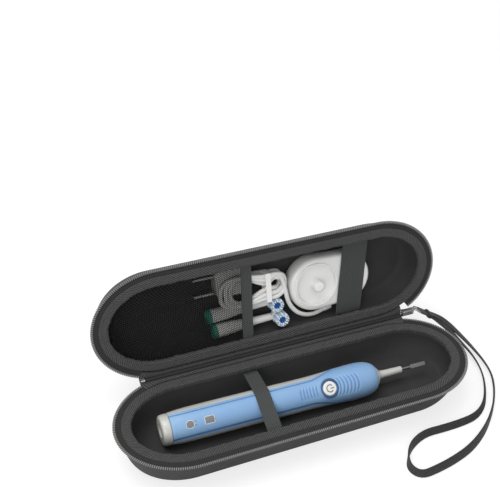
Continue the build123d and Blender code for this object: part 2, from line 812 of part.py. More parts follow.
with BuildPart() as motor:
    across(98.0, 138.0, 6.1, cell_drop)
    across(138.0, 140.0, 3.0, cell_drop)

board_under = 4.4
with BuildPart() as circuit_board:
    with BuildSketch(above(board_under)) as board_plan:
        with Locations((75.0, 0)):
            Rectangle(118.0, 11.2)
    extrude(board_plan.sketch, amount=1.2)

with BuildPart() as switch:
    with BuildSketch(above(board_under + 1.2)) as switch_plan:
        with Locations((button_at, 0)):
            Rectangle(6.0, 6.0)
    extrude(switch_plan.sketch, amount=1.0)
    with BuildSketch(above(board_under + 2.2)) as plunger_plan:
        with Locations((button_at, 0)):
            Circle(1.2)
    extrude(plunger_plan.sketch, amount=0.6)

link_end = 150.0
with BuildPart() as drive_link:
    across(141.0, link_end, 4.2)

with BuildPart() as drive_shaft:
    across(link_end, tip_from, rod_radius)
    with BuildSketch(along(tip_from)) as tip:
        RectangleRounded(2 * tip_radius, 1.5 * rod_radius, 0.4)
    extrude(tip.sketch, amount=tip_end - tip_from)

seal_from = cavity_end + 1.0
with BuildPart() as shaft_seal:
    across(seal_from, seal_from + 3.0, seal_radius)
    across(seal_from, seal_from + 3.0, rod_room, mode=Mode.SUBTRACT)

collar_root = seal_from + 3.0 + sewn
collar_step = shoulder_at + 1.7
cone_end = shoulder_at + 4.5
with BuildPart() as neck_collar:
    with BuildSketch(Plane(origin=handle_axis.origin, x_dir=handle_dir, z_dir=-handle_axis.y_dir)):
        with BuildLine():
            Polyline(
                (collar_root, rod_room), (collar_root, seal_radius), (shoulder_at + sewn, seal_radius),
                (shoulder_at + sewn, shoulder_radius - 0.4), (collar_step, shoulder_radius - 2.6),
                (collar_step + 1.2, neck_radius + 1.2),
                (cone_end, neck_radius + 0.2), (neck_end, neck_radius), (neck_end, rod_room),
                close=True,
            )
        make_face()
    revolve(axis=Axis(handle_axis.origin, handle_dir))

# --- zip slider and its pull ------------------------------------------------------------
slider_low = spine_bead
slider_high = 4.6
pin_level = shell_depth + pin_z
pin_radius = 0.8

with BuildPart() as zip_slider:
    middle = (slider_x[0] + slider_x[1]) / 2
    length = slider_x[1] - slider_x[0]
    for low, high in ((slider_low, slider_low + 1.2), (slider_high - 1.2, slider_high)):
        with BuildSketch(Plane.XY.offset(shell_depth + low)) as wing:
            with Locations((middle, half_width)):
                RectangleRounded(length, 2 * slider_half_width, 1.4)
        extrude(wing.sketch, amount=high - low)
    with BuildSketch(Plane.XY.offset(shell_depth + slider_low)) as post:
        with Locations((middle, half_width)):
            Rectangle(3.6, 1.6)
    extrude(post.sketch, amount=slider_high - slider_low)
    lug_from = slider_x[1] - 1.2
    with BuildSketch(Plane(origin=(0, half_width - 1.0, 0), x_dir=(1, 0, 0), z_dir=(0, -1, 0))) as lug:
        with BuildLine():
            Polyline(
                (lug_from, shell_depth + slider_high - 1.1), (pin_x, pin_level - 1.8),
                (pin_x + 1.8, pin_level - 0.6), (pin_x + 1.8, pin_level + 1.2),
                (pin_x, pin_level + 1.8), (lug_from, shell_depth + slider_high), close=True,
            )
        make_face()
    extrude(lug.sketch, amount=-2.0)
    with BuildSketch(Plane(origin=(pin_x, half_width - 2, pin_level), z_dir=(0, 1, 0))) as pin_hole:
        Circle(pin_radius + loose)
    extrude(pin_hole.sketch, amount=4, mode=Mode.SUBTRACT)

# the pull hangs from its pin: X down its length, Y across, Z out of its upper face
droop = radians(pull_droop)
pull_frame = Plane(
    origin=(pin_x, half_width, pin_level),
    x_dir=(cos(droop), 0, -sin(droop)),
    z_dir=(sin(droop), 0, cos(droop)),
)
bail_wire = 1.2
bail_length = 6.0
bail_gap = 2.6

with BuildPart() as pull_bail:
    with BuildSketch(pull_frame.offset(-bail_wire / 2)) as bail_plan:
        for side in (-1, 1):
            with Locations((-pin_radius, side * (bail_gap / 2 + bail_wire / 2))):
                Rectangle(bail_length, bail_wire, align=(Align.MIN, Align.CENTER))
        with Locations((bail_length - pin_radius, 0)):
            Rectangle(bail_wire, pull_width - 0.4)
    extrude(bail_plan.sketch, amount=bail_wire)
    pin_half = bail_gap / 2 + bail_wire
    with BuildSketch(Plane(origin=(pin_x, half_width - pin_half, pin_level), z_dir=(0, 1, 0))) as pin:
        Circle(pin_radius)
    extrude(pin.sketch, amount=2 * pin_half)

web_start = bail_length - pin_radius + bail_wire / 2
knob_length = 4.4
with BuildPart() as pull_tab:
    with BuildSketch(pull_frame.offset(-pull_thick / 2)) as tab_plan:
        with Locations((web_start, 0)):
            Rectangle(pull_length - knob_length - web_start, pull_width - 1.4, align=(Align.MIN, Align.CENTER))
    extrude(tab_plan.sketch, amount=pull_thick)

with BuildPart() as pull_knob:
    with BuildSketch(pull_frame.offset(-pull_thick / 2 - 0.7)) as knob_plan:
        with Locations((pull_length - knob_length, 0)):
            Rectangle(knob_length, pull_width, align=(Align.MIN, Align.CENTER))
        fillet(knob_plan.vertices(), 1.0)
    extrude(knob_plan.sketch, amount=pull_thick + 1.4)

# --- wrist strap: one loop, both ends held by the knob ----------------------------------
loop_half = 2.25
loop_start = pull_length + loose


def from_pull(reach, side):
    """Point reach down the pull's length, on one side of its middle."""
    spot = pull_frame.from_local_coords((reach, side * loop_half, 0))
    return spot.X, spot.Y, spot.Z


strap_route = [
    from_pull(loop_start, 1),
    from_pull(loop_start + 7.5, 1),
    (145.0, 34.6, 12.4),
    (151.6, 23.0, 7.2),
    (156.2, 9.6, 3.6),
    (157.8, -4.4, strap_rest),
    (155.8, -17.6, strap_rest),
    (149.8, -29.8, strap_rest),
    (141.4, -41.6, strap_rest),
    (131.0, -52.6, strap_rest),
    (118.0, -62.9, strap_rest),
    (102.4, -71.2, strap_rest),
    (86.0, -75.8, strap_rest),
    (70.4, -78.4, strap_rest),
    (57.4, -79.4, strap_rest),
    (52.2, -71.0, strap_rest),
    (57.4, -61.0, strap_rest),
    (66.0, -53.8, strap_rest),
    (78.4, -49.2, strap_rest),
    (92.6, -49.8, strap_rest),
    (107.6, -49.8, strap_rest),
    (121.6, -48.4, strap_rest),
    (132.6, -41.8, strap_rest),
    (140.6, -31.6, strap_rest),
    (147.4, -19.6, strap_rest),
    (151.4, -7.2, strap_rest),
    (151.8, 5.6, 3.8),
    (147.6, 18.6, 7.6),
    (142.2, 29.6, 12.8),
    from_pull(loop_start + 7.5, -1),
    from_pull(loop_start, -1),
]
wrist_strap = cord(strap_route, wrist_strap_width, "wrist_strap")

with BuildPart() as zip_stop:
    stop_x = -zip_start + 2.0
    with BuildSketch(Plane(origin=(stop_x - 1.5, half_width, shell_depth), z_dir=(1, 0, 0))):
        RectangleRounded(3.6, 3.6, 0.8)
        Circle(spine_bead + 0.02, mode=Mode.SUBTRACT)
    extrude(amount=3.0)

# --- one STEP file for each piece -------------------------------------------------------
pieces = {
    "base_shell": base_shell,
    "base_lining": base_lining,
    "base_binding": base_binding,
    "base_zip_tape": base_zip_tape,
    "base_zip_coil": base_zip_coil,
    "base_strap": base_strap,
    "spine_base": spine_base,
    "zip_stop": zip_stop,
    "zip_slider": zip_slider,
    "wrist_strap": wrist_strap,
    "lid_shell": lid_shell,
    "lid_lining": lid_lining,
    "lid_binding": lid_binding,
    "lid_zip_tape": lid_zip_tape,
    "lid_zip_coil": lid_zip_coil,
    "lid_band": lid_band,
    "mesh_pocket": mesh_pocket,
    "pocket_edge": pocket_edge,
    "spine_lid": spine_lid,
    "charger_housing": charger_housing,
    "charger_base": charger_base,
    "charger_coil": charger_coil,
    "charger_core": charger_core,
    "lead_gland": lead_gland,
    "charger_lead": charger_lead,
    "lead_hank": lead_hank,
    "lead_tie": lead_tie,
    "plug_body": plug_body,
    "plug_blades": plug_blades,
    **head_parts,
    "handle_housing": handle_housing,
    "handle_panel": handle_panel,
    "end_cap": end_cap,
    "charge_window": charge_window,
    "battery_window": battery_window,
    "pressure_light": pressure_light,
    "button_seal": button_seal,
    "power_button": power_button,
    "neck_collar": neck_collar,
    "shaft_seal": shaft_seal,
    "cell": cell,
    "motor": motor,
    "circuit_board": circuit_board,
    "switch": switch,
    "charge_coil": charge_coil,
    "drive_link": drive_link,
    "drive_shaft": drive_shaft,
    "pull_bail": pull_bail,
    "pull_tab": pull_tab,
    "pull_knob": pull_knob,
}
for name, piece in pieces.items():
    piece.part.label = name
    export_step(piece.part, f"parts/{name}.step")
    box = piece.part.bounding_box()
    print(f"{name:20s} vol {piece.part.volume / 1000:8.3f} cm3  x {box.min.X:7.1f} {box.max.X:7.1f}"
          f"  y {box.min.Y:7.1f} {box.max.Y:7.1f}  z {box.min.Z:7.1f} {box.max.Z:7.1f}"
          f"  solids {len(piece.part.solids())}")
print(len(pieces), "pieces")
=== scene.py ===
"""Travel case for an electric toothbrush, open: handle in the tray, charger and heads in the lid."""
import json
from math import asin, atan2, cos, hypot, pi, radians, sin

import bmesh
import bpy
import numpy as np
from mathutils import Matrix


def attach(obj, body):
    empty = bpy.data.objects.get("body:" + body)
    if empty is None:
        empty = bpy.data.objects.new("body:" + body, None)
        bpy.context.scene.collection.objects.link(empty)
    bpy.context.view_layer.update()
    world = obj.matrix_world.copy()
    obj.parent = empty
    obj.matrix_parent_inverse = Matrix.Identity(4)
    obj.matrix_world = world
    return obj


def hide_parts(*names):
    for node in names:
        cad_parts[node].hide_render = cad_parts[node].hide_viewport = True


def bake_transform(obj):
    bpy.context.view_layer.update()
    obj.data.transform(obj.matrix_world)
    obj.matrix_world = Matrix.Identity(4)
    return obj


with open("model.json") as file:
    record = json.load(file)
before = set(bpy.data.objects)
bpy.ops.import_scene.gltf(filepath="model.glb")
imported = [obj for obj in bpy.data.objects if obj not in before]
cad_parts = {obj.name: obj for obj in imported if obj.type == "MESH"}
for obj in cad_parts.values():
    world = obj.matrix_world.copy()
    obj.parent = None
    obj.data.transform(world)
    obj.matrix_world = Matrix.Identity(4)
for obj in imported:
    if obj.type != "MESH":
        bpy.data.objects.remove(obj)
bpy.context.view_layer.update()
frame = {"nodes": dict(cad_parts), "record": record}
MM = 0.001

# --- sizes of the case, in millimetres ---
half_width = 39.4
end_reach = 47.7
straight_half = 84.3
shell_depth = 28.0
lid_turn = radians(110.4)
shell_edge = 4.0
shell_wall = 2.5
inner_edge = 7.2
floor_depth = 24.8
wall_run = 8.5
edge_drop = 2.0

# --- camera ---
camera_azimuth = -0.431579886
camera_height = 0.693171231
camera_roll = 0.0780227055
camera_far = 0.625694445
camera_aim = np.array([-0.0067687, 0.0865589, 0.0907962])
camera_lens = 62.546


def link(name, data):
    """New object of the data, in the scene."""
    made = bpy.data.objects.new(name, data)
    bpy.context.scene.collection.objects.link(made)
    return made


def stand(thing, right, up, back, spot):
    """Stands a camera or lamp at a spot; its three axes are right, up and back."""
    rows = [(*row, place) for row, place in zip(np.c_[right, up, back], spot)]
    thing.matrix_world = Matrix([*rows, (0, 0, 0, 1)])


def make_camera():
    """Perspective camera: turned by its azimuth, lifted by its height, rolled about its axis."""
    ca, sa = cos(camera_azimuth), sin(camera_azimuth)
    ce, se = cos(camera_height), sin(camera_height)
    back = np.array([sa * ce, -ca * ce, se])
    level = np.array([ca, sa, 0.0])
    rise = np.cross(back, level)
    cr, sr = cos(camera_roll), sin(camera_roll)
    right, up = cr * level + sr * rise, cr * rise - sr * level
    spot = camera_aim + back * camera_far
    camera = link("camera", bpy.data.cameras.new("camera"))
    stand(camera, right, up, back, spot)
    camera.data.lens = camera_lens
    camera.data.clip_start, camera.data.clip_end = 0.01, 20
    bpy.context.scene.camera = camera


make_camera()


# --- places ---
def in_base(x, across, depth):
    """Points in the base: x along, across towards the hinge line, depth below the zip plane."""
    return np.stack(np.broadcast_arrays(x, across, shell_depth - depth), axis=-1)


def in_lid(x, across, depth):
    """Points in the lid: its zip plane turns about the hinge line, depth runs to its floor."""
    reach = half_width - across
    y = half_width - reach * cos(lid_turn) + depth * sin(lid_turn)
    z = shell_depth + reach * sin(lid_turn) + depth * cos(lid_turn)
    return np.stack(np.broadcast_arrays(x, y, z), axis=-1)


def lid_spot(x, d, depth):
    """One point of the lid, d from the hinge line."""
    return in_lid(np.float64(x), half_width - d, depth)


def rim_table():
    """Fine table of the coil line: distance along it, centre of curvature's x and angle."""
    bow = np.radians(np.linspace(90, -90, 721))
    arc_x, arc_y = end_reach * np.cos(bow), half_width * np.sin(bow)
    arc = np.r_[0, np.cumsum(np.hypot(np.diff(arc_x), np.diff(arc_y)))]
    run = straight_half
    marks = [[0], run + arc, 3 * run + arc[-1] + arc, [4 * run + 2 * arc[-1]]]
    centres = [[0], np.full(721, run), np.full(721, -run), [0]]
    angles = [[pi / 2], bow, bow - pi, [-3 * pi / 2]]
    return np.concatenate(marks), np.concatenate(centres), np.concatenate(angles)


rim_marks, rim_centres, rim_angles = rim_table()
rim_length = rim_marks[-1]


def rim(mark, inset):
    """Point of the rim outline: ellipse or straight drawn in by inset, at mark along the coil line."""
    mark = np.mod(mark, rim_length)
    centre, angle = np.interp(mark, rim_marks, rim_centres), np.interp(mark, rim_marks, rim_angles)
    return centre + (end_reach - inset) * np.cos(angle), (half_width - inset) * np.sin(angle)


def mark_at(x):
    """Where the coil line's hinge side passes x, right of the middle."""
    side = rim(np.linspace(0, rim_length / 4, 2000), 0)[0]
    return np.interp(x, side, np.linspace(0, rim_length / 4, 2000))


# --- meshes ---
def surface(name, grid, along, across, wrap=False, sharp=40, marks=None):
    """Skin on a grid of points in millimetres; UV is the distance along and across, in millimetres.

    Each row is a closed ring, joined to the next one. Wrap joins the last ring to the first, and
    without it a face closes each of them. Marks, where given, are each point's UV.
    """
    rows, columns = grid.shape[:2]
    u, v = np.arange(rows if wrap else rows - 1), np.arange(columns)
    iu, iv = (a.ravel() for a in np.meshgrid(u, v, indexing="ij"))
    ju, jv = (iu + 1) % rows, (iv + 1) % columns
    faces = np.stack([iu * columns + iv, ju * columns + iv, ju * columns + jv, iu * columns + jv], axis=1)
    loops_u = np.stack([along[iu], along[iu + 1], along[iu + 1], along[iu]], axis=1)
    loops_v = np.stack([across[iv], across[iv], across[iv + 1], across[iv + 1]], axis=1)
    polygons = faces.tolist()
    plane = list(zip(loops_u.ravel().tolist(), loops_v.ravel().tolist()))
    if not wrap:
        for row, flip in ((0, 1), (rows - 1, -1)):
            polygons.append([row * columns + c for c in range(columns)][::flip])
            mark = along[row]
            plane += [(mark, a) for a in across[:columns].tolist()][::flip]
    if marks is not None:
        plane = marks.reshape(-1, 2)[[corner for face in polygons for corner in face]]
    return build(name, grid, polygons, plane, sharp)


def build(name, points, faces, uv, sharp, merge=True):
    """Mesh from points in millimetres, faces, and a UV pair for each face's corner.

    Faces point outwards and are shaded smooth up to the sharp angle; merge joins double points.
    """
    mesh = bpy.data.meshes.new(name)
    mesh.from_pydata((points.reshape(-1, 3) * MM).tolist(), [], faces)
    mesh.uv_layers.new(name="UVMap").data.foreach_set("uv", np.asarray(uv, dtype=np.float32).ravel())
    shape = bmesh.new()
    shape.from_mesh(mesh)
    if merge:
        bmesh.ops.remove_doubles(shape, verts=shape.verts, dist=2e-6)
        bmesh.ops.dissolve_degenerate(shape, edges=shape.edges, dist=1e-7)
    bmesh.ops.recalc_face_normals(shape, faces=shape.faces)
    shape.to_mesh(mesh)
    shape.free()
    mesh.polygons.foreach_set("use_smooth", np.ones(len(mesh.polygons), dtype=bool))
    mesh.set_sharp_from_angle(angle=radians(sharp))
    return link(name, mesh)


def lengths(points):
    """Distance along a row of points."""
    steps = np.linalg.norm(np.diff(points, axis=0), axis=1)
    return np.r_[0, np.cumsum(steps)]


def closed(profile):
    """Distances round a closed profile, with its whole length last."""
    return lengths(np.vstack([profile, profile[:1]]))


def rounded(profile, radius, steps=4):
    """Closed profile with each corner cut by a quadratic curve from radius before to radius after."""
    profile = np.asarray(profile, dtype=float)
    before, after = np.roll(profile, 1, axis=0), np.roll(profile, -1, axis=0)
    back, on = before - profile, after - profile
    back_long, on_long = np.linalg.norm(back, axis=1), np.linalg.norm(on, axis=1)
    reach = np.minimum(radius, 0.48 * np.minimum(back_long, on_long))[:, None]
    first, last = profile + back / back_long[:, None] * reach, profile + on / on_long[:, None] * reach
    t = np.linspace(0, 1, steps + 1)[None, :, None]
    curve = (1 - t) ** 2 * first[:, None] + 2 * t * (1 - t) * profile[:, None] + t**2 * last[:, None]
    return curve.reshape(-1, profile.shape[1])


def rim_sweep(name, half, profile, marks, ring=True, waver=None):
    """Closed profile of inset and depth carried round the rim; waver shifts its inner side at each mark."""
    inset, depth = np.asarray(profile, dtype=float).T
    grid_inset = inset[None, :] + (0 if waver is None else waver[:, None] * (inset > inset.max() - 2))
    x, across = rim(marks[:, None], grid_inset)
    grid = half(x, across, depth[None, :] + 0 * x)
    stops = np.r_[marks, marks[0] + rim_length] if ring else marks
    return surface(name, grid, stops, closed(np.asarray(profile)), wrap=ring)


def cross_frames(points, ring=False):
    """Tangent of each point of a path, from its neighbours."""
    if ring:
        tangent = np.roll(points, -1, axis=0) - np.roll(points, 1, axis=0)
    else:
        tangent = np.gradient(points, axis=0)
    return tangent / np.linalg.norm(tangent, axis=1)[:, None]


def ribbon(name, points, wide, profile, ring=False):
    """Closed profile carried along points: its first number runs along wide, its second across it."""
    tangent = cross_frames(points, ring)
    wide = wide - (wide * tangent).sum(axis=1)[:, None] * tangent
    wide /= np.linalg.norm(wide, axis=1)[:, None]
    thick = np.cross(tangent, wide)
    grid = points[:, None] + profile[None, :, :1] * wide[:, None] + profile[None, :, 1:] * thick[:, None]
    marks = closed(points) if ring else lengths(points)
    return surface(name, grid, marks, closed(profile), wrap=ring)


def turned(name, place, profile, turns=64, sharp=35, loop=False):
    """Profile of (along, radius) turned about an axis; place puts (along, side, up) in the case."""
    profile = np.asarray(profile, dtype=float)
    angle = np.linspace(0, 2 * pi, turns, endpoint=False)
    along, radius = profile[:, :1], profile[:, 1:]
    grid = place(along + 0 * angle, radius * np.cos(angle), radius * np.sin(angle))
    marks = closed(profile) if loop else lengths(profile)
    girth = np.linspace(0, 2 * pi * profile[:, 1].max(), turns + 1)
    return surface(name, grid, marks, girth, wrap=loop, sharp=sharp)


def copies(name, shape_points, shape_faces, centres, frames, tags=None, sharp=40):
    """One small shape repeated: each copy's points are its centre plus the shape in its frame.

    UV is the copy's tag, or its number, and the height within the shape.
    """
    count, size = len(centres), len(shape_points)
    points = centres[:, None] + np.einsum("pk,ckx->cpx", shape_points, frames)
    faces = [[i + n * size for i in face] for n in range(count) for face in shape_faces]
    owner = np.repeat(np.arange(count), sum(len(face) for face in shape_faces))
    marks = np.arange(count, dtype=float) if tags is None else np.asarray(tags, dtype=float)
    corner = np.array([i for n in range(count) for face in shape_faces for i in face])
    uv = np.stack([marks[owner], shape_points[corner, 2]], axis=1)
    return build(name, points, faces, uv, sharp, merge=False)


def bead(sides, rings, wide, long, tall, power=2.6):
    """Small closed lozenge: a sphere's rings pushed towards a box by a power, and its faces."""
    lift = np.linspace(-pi / 2, pi / 2, rings + 2)[1:-1]
    turn = np.linspace(0, 2 * pi, sides, endpoint=False)
    squared = lambda value: np.sign(value) * np.abs(value) ** (2 / power)
    x = np.outer(squared(np.cos(lift)), squared(np.cos(turn))) * wide / 2
    y = np.outer(squared(np.cos(lift)), squared(np.sin(turn))) * long / 2
    z = np.repeat(squared(np.sin(lift)), sides).reshape(rings, sides) * tall / 2
    points = np.stack([x, y, z], axis=-1).reshape(-1, 3)
    faces = [
        [r * sides + c, r * sides + (c + 1) % sides, (r + 1) * sides + (c + 1) % sides, (r + 1) * sides + c]
        for r in range(rings - 1) for c in range(sides)
    ]
    faces += [list(range(sides))[::-1], [(rings - 1) * sides + c for c in range(sides)]]
    return points, faces


# --- cords ---
def spline_cord(name, route, bevel=0.0):
    """Curve of one NURBS spline whose control points are the route's, in metres."""
    data = bpy.data.curves.new(name, "CURVE")
    data.dimensions = "3D"
    data.resolution_u = 12
    data.bevel_depth = bevel
    data.bevel_resolution = 5
    data.use_fill_caps = bevel > 0
    spline = data.splines.new("NURBS")
    spline.points.add(len(route) - 1)
    spline.points.foreach_set("co", np.c_[np.asarray(route), np.ones(len(route))].ravel())
    spline.order_u = 3
    spline.use_endpoint_u = True
    return link(name, data)


def spline_points(name, route):
    """Points along the NURBS spline of a route, read from its mesh; in millimetres."""
    guide = spline_cord(name, route)
    mesh = bpy.data.meshes.new_from_object(guide)
    points = np.empty(3 * len(mesh.vertices))
    mesh.vertices.foreach_get("co", points)
    bpy.data.objects.remove(guide)
    bpy.data.meshes.remove(mesh)
    return points.reshape(-1, 3) / MM


pull_droop = radians(36.0)
pull_down = np.array([cos(pull_droop), 0, -sin(pull_droop)])
pull_face = np.array([sin(pull_droop), 0, cos(pull_droop)])
pin_x = 114.9
pin = np.array([pin_x, half_width, 32.4])


def on_pull(reach, side, out):
    """Points of the pull: reach down its length, side across it, out of its upper face."""
    reach, side, out = (np.asarray(value)[..., None] for value in (reach, side, out))
    return pin + reach * pull_down + side * np.array([0.0, 1.0, 0.0]) + out * pull_face


strap_width = 5.6
strap_thick = 1.15
strap_crown = 1.04
# the loop on the table: x, y, and how far the strap leans from lying flat, in degrees
strap_loop = [
    (157.8, -4.4, 52), (155.8, -17.6, 62), (149.8, -29.8, 72), (141.4, -41.6, 80), (131.0, -52.6, 74),
    (118.0, -62.9, 58), (102.4, -71.2, 44), (86.0, -75.8, 36), (70.4, -78.4, 36), (57.4, -79.4, 48),
    (52.2, -71.0, 68), (57.4, -61.0, 100), (66.0, -53.8, 126), (78.4, -49.2, 138), (92.6, -49.8, 140),
    (107.6, -49.8, 136), (121.6, -48.4, 126), (132.6, -41.8, 116), (140.6, -31.6, 110), (147.4, -19.6, 112),
    (151.4, -7.2, 118),
]


def strap_height(lean):
    """Height of the strap's middle where its lower edge rests on the table."""
    return strap_width / 2 * sin(radians(lean)) + strap_thick / 2 * abs(cos(radians(lean))) + 0.12


strap_route = [
    (*on_pull(20.3, 0.5, 0.66), 0), (*on_pull(27.8, 0.9, 0.66), 4), (145.0, 34.6, 12.8, 14),
    (151.6, 23.0, 7.6, 28), (156.2, 9.6, 4.1, 42),
    *[(x, y, strap_height(lean), lean) for x, y, lean in strap_loop],
    (151.8, 5.6, 4.0, 128), (147.6, 18.6, 7.6, 142), (142.2, 29.6, 12.6, 160),
    (*on_pull(27.8, -0.9, -0.66), 175), (*on_pull(20.3, -0.5, -0.66), 180),
]


def make_strap():
    """Flat strap: a rounded strip along the spline, turned about it by its lean."""
    table = np.array(strap_route)
    points = spline_points("strap_guide", table[:, :3] * MM)
    share = np.linspace(0, len(table) - 1, len(points))
    lean = np.radians(np.interp(share, np.arange(len(table)), table[:, 3]))[:, None]
    tangent = cross_frames(points)
    level = np.cross(tangent, [0.0, 0.0, 1.0])
    level /= np.linalg.norm(level, axis=1)[:, None]
    rise = np.cross(level, tangent)
    wide = np.cos(lean) * level + np.sin(lean) * rise
    w, t = strap_width / 2, strap_thick / 2
    flat, crown = w * 0.4, t * strap_crown
    under = [(-w, -t), (-flat, -crown), (flat, -crown), (w, -t)]
    profile = [*under, *[(x, -y) for x, y in under[::-1]]]
    return ribbon("wrist_strap_web", points, wide, rounded(profile, 0.5, 3)), points


strap, strap_path = make_strap()

lead_diameter = 3.3
lead_gland = (46.0, 13.0, 17.0)
# each turn of the hank: left tip, its lobe's middle and half height, depth of the lobe's upper
# and lower run; slots at the tie above and below, with their depths; right tip and its depth
hank_turns = [
    (-37.2, 45.4, 11.0, 8.7, 9.2, 53.4, 8.7, 36.6, 8.7, 14.1, 12.2),
    (-33.0, 45.0, 10.4, 9.4, 8.7, 49.9, 8.7, 40.1, 8.7, 13.6, 15.5),
    (-36.2, 44.6, 10.6, 12.1, 12.2, 52.6, 12.1, 37.6, 12.1, 13.9, 18.8),
    (-31.4, 45.8, 10.0, 12.2, 11.4, 49.1, 12.1, 41.0, 12.1, 13.2, 21.8),
    (-28.6, 44.8, 9.9, 10.6, 12.2, 46.4, 10.2, 43.6, 10.2, 11.0, 21.9),
]


def hank_turn(tip, middle, tall, upper, lower, top, top_depth, foot, foot_depth, right, right_depth):
    """Control points of one turn: tie, left lobe, tie, right lobe, as (x, d, depth)."""
    bulge = tall * 0.86
    rise, fall = middle + tall, middle - tall
    return [
        (-1.0, top, top_depth), (-11.0, 0.45 * top + 0.55 * rise, (top_depth + upper) / 2),
        (tip + tall * 1.35, rise + 0.35, upper), (tip + tall * 0.52, rise - 0.4, upper),
        (tip + 0.5, middle + tall * 0.58, upper), (tip - 0.3, middle, (upper + lower) / 2),
        (tip + 0.5, middle - tall * 0.58, lower), (tip + tall * 0.52, fall + 0.4, lower),
        (tip + tall * 1.35, fall - 0.35, lower), (-11.0, 0.45 * foot + 0.55 * fall, (foot_depth + lower) / 2),
        (-1.0, foot, foot_depth), (right - 7.6, foot - 0.24 * bulge + 1.2, foot_depth + 0.2),
        (right - 1.6, 0.72 * foot + 0.28 * middle, 0.55 * foot_depth + 0.45 * right_depth),
        (right + 0.2, middle, right_depth),
        (right - 1.6, 0.72 * top + 0.28 * middle, 0.55 * top_depth + 0.45 * right_depth),
        (right - 7.6, top + 0.24 * bulge - 1.2, top_depth + 0.2),
    ]


def lead_route():
    """The lead's way: gland, past the heads, five turns of the hank, and down to the plug."""
    way = [lead_gland, (41.0, 11.9, 15.7), (32.5, 12.3, 14.0), (24.5, 16.0, 12.2),
           (19.0, 21.5, 10.9), (15.6, 27.5, 10.3), (13.9, 33.2, 9.6), (12.6, 42.0, 9.6),
           (10.8, 50.0, 9.2), (6.0, 54.4, 8.8)]
    for turn in hank_turns:
        way += hank_turn(*turn)
    way = way[:-4]
    way += [(6.2, 41.6, 12.6), (12.0, 41.0, 16.4), (14.0, 45.4, 19.2), (12.4, 50.6, 19.6), (8.0, 52.0, 19.5),
            (2.0, 52.0, 19.5), (-4.0, 52.0, 19.5)]
    return np.array([lid_spot(*spot) for spot in way])


lead = spline_cord("charger_lead_line", lead_route() * MM, bevel=lead_diameter / 2 * MM)


# --- finishes ---
def tone(code):
    """Linear colour of a hex code."""
    shades = [int(code[i:i + 2], 16) / 255 for i in (1, 3, 5)]
    return tuple(c / 12.92 if c <= 0.04045 else ((c + 0.055) / 1.055) ** 2.4 for c in shades) + (1.0,)


class Wire:
    """A number that varies over a surface; arithmetic on it adds Math nodes."""

    def __init__(self, finish, socket):
        self.finish, self.socket = finish, socket

    def math(self, operation, *values):
        return self.finish.node("Math", values, operation=operation)

    def __add__(self, other):
        return self.math("ADD", self, other)

    def __sub__(self, other):
        return self.math("SUBTRACT", self, other)

    def __rsub__(self, other):
        return self.math("SUBTRACT", other, self)

    def __mul__(self, other):
        return self.math("MULTIPLY", self, other)

    def __truediv__(self, other):
        return self.math("DIVIDE", self, other)

    __radd__, __rmul__ = __add__, __mul__

    def sine(self):
        return self.math("SINE", self)

    def wave(self, rate):
        """Even ripple between 0 and 1."""
        return (self * rate).sine() * 0.5 + 0.5

    def power(self, other):
        return self.math("POWER", self, other)

    def over(self, low, high):
        """0 below low, 1 above high, a smooth step between."""
        return self.finish.node("MapRange", [self, low, high, 0.0, 1.0], interpolation_type="SMOOTHSTEP")


class Finish:
    """One material: its shader's constants, and one way to add any other node."""

    def __init__(self, name, colour, rough, **constants):
        self.material = bpy.data.materials.new(name)
        self.material.use_nodes = True
        self.tree = self.material.node_tree
        self.shader = self.tree.nodes["Principled BSDF"]
        self.set("Base Color", tone(colour))
        self.set("Roughness", rough)
        for socket, value in constants.items():
            self.set(socket.replace("_", " "), value)

    def set(self, socket, value):
        """Gives a shader's socket a value or a link."""
        self.fill(self.shader.inputs[socket], value)

    def fill(self, socket, value):
        if isinstance(value, Wire):
            self.tree.links.new(value.socket, socket)
        else:
            socket.default_value = value

    def node(self, kind, values=(), output=0, **settings):
        """Adds a node: its settings first, then its sockets' values or links, in order or by key."""
        made = self.tree.nodes.new("ShaderNode" + kind)
        for key, value in settings.items():
            setattr(made, key, value)
        pairs = values.items() if isinstance(values, dict) else enumerate(values)
        for key, value in pairs:
            self.fill(made.inputs[key], value)
        return Wire(self, made.outputs[output])

    def noise(self, scale, detail):
        """Cloudy number between 0 and 1, by the object's coordinates."""
        where = self.node("TexCoord", output="Object")
        return self.node("TexNoise", {"Vector": where, "Scale": scale, "Detail": detail})

    def uv(self):
        """Distance along and across the piece's surface, in millimetres."""
        plane = self.node("UVMap")
        return [self.node("SeparateXYZ", [plane], output=i) for i in (0, 1)]

    def mix(self, share, first, second):
        first, second = (tone(c) if isinstance(c, str) else c for c in (first, second))
        return self.node("Mix", {0: share, 6: first, 7: second}, output=2, data_type="RGBA")

    def paint(self, share, first, second):
        """Base colour mixed from two by a share."""
        self.set("Base Color", self.mix(share, first, second))

    def bump(self, height, strength, distance):
        """Bump from a height between 0 and 1; distance in metres."""
        self.set("Normal", self.node("Bump", {"Strength": strength, "Distance": distance, "Height": height}))


def shell_finish():
    """Moulded satin shell: faint cloudy colour and a fine pebbled grain."""
    made = Finish("case_shell_satin", "#2B2B2C", 0.5)
    cloud, grain = made.noise(22, 3), made.noise(1400, 2)
    made.paint(cloud.over(0.3, 0.7), "#28282A", "#303031")
    made.set("Roughness", 0.46 + 0.14 * grain)
    made.bump(grain * 0.7 + cloud * 0.3, 0.12, 0.00012)
    return made


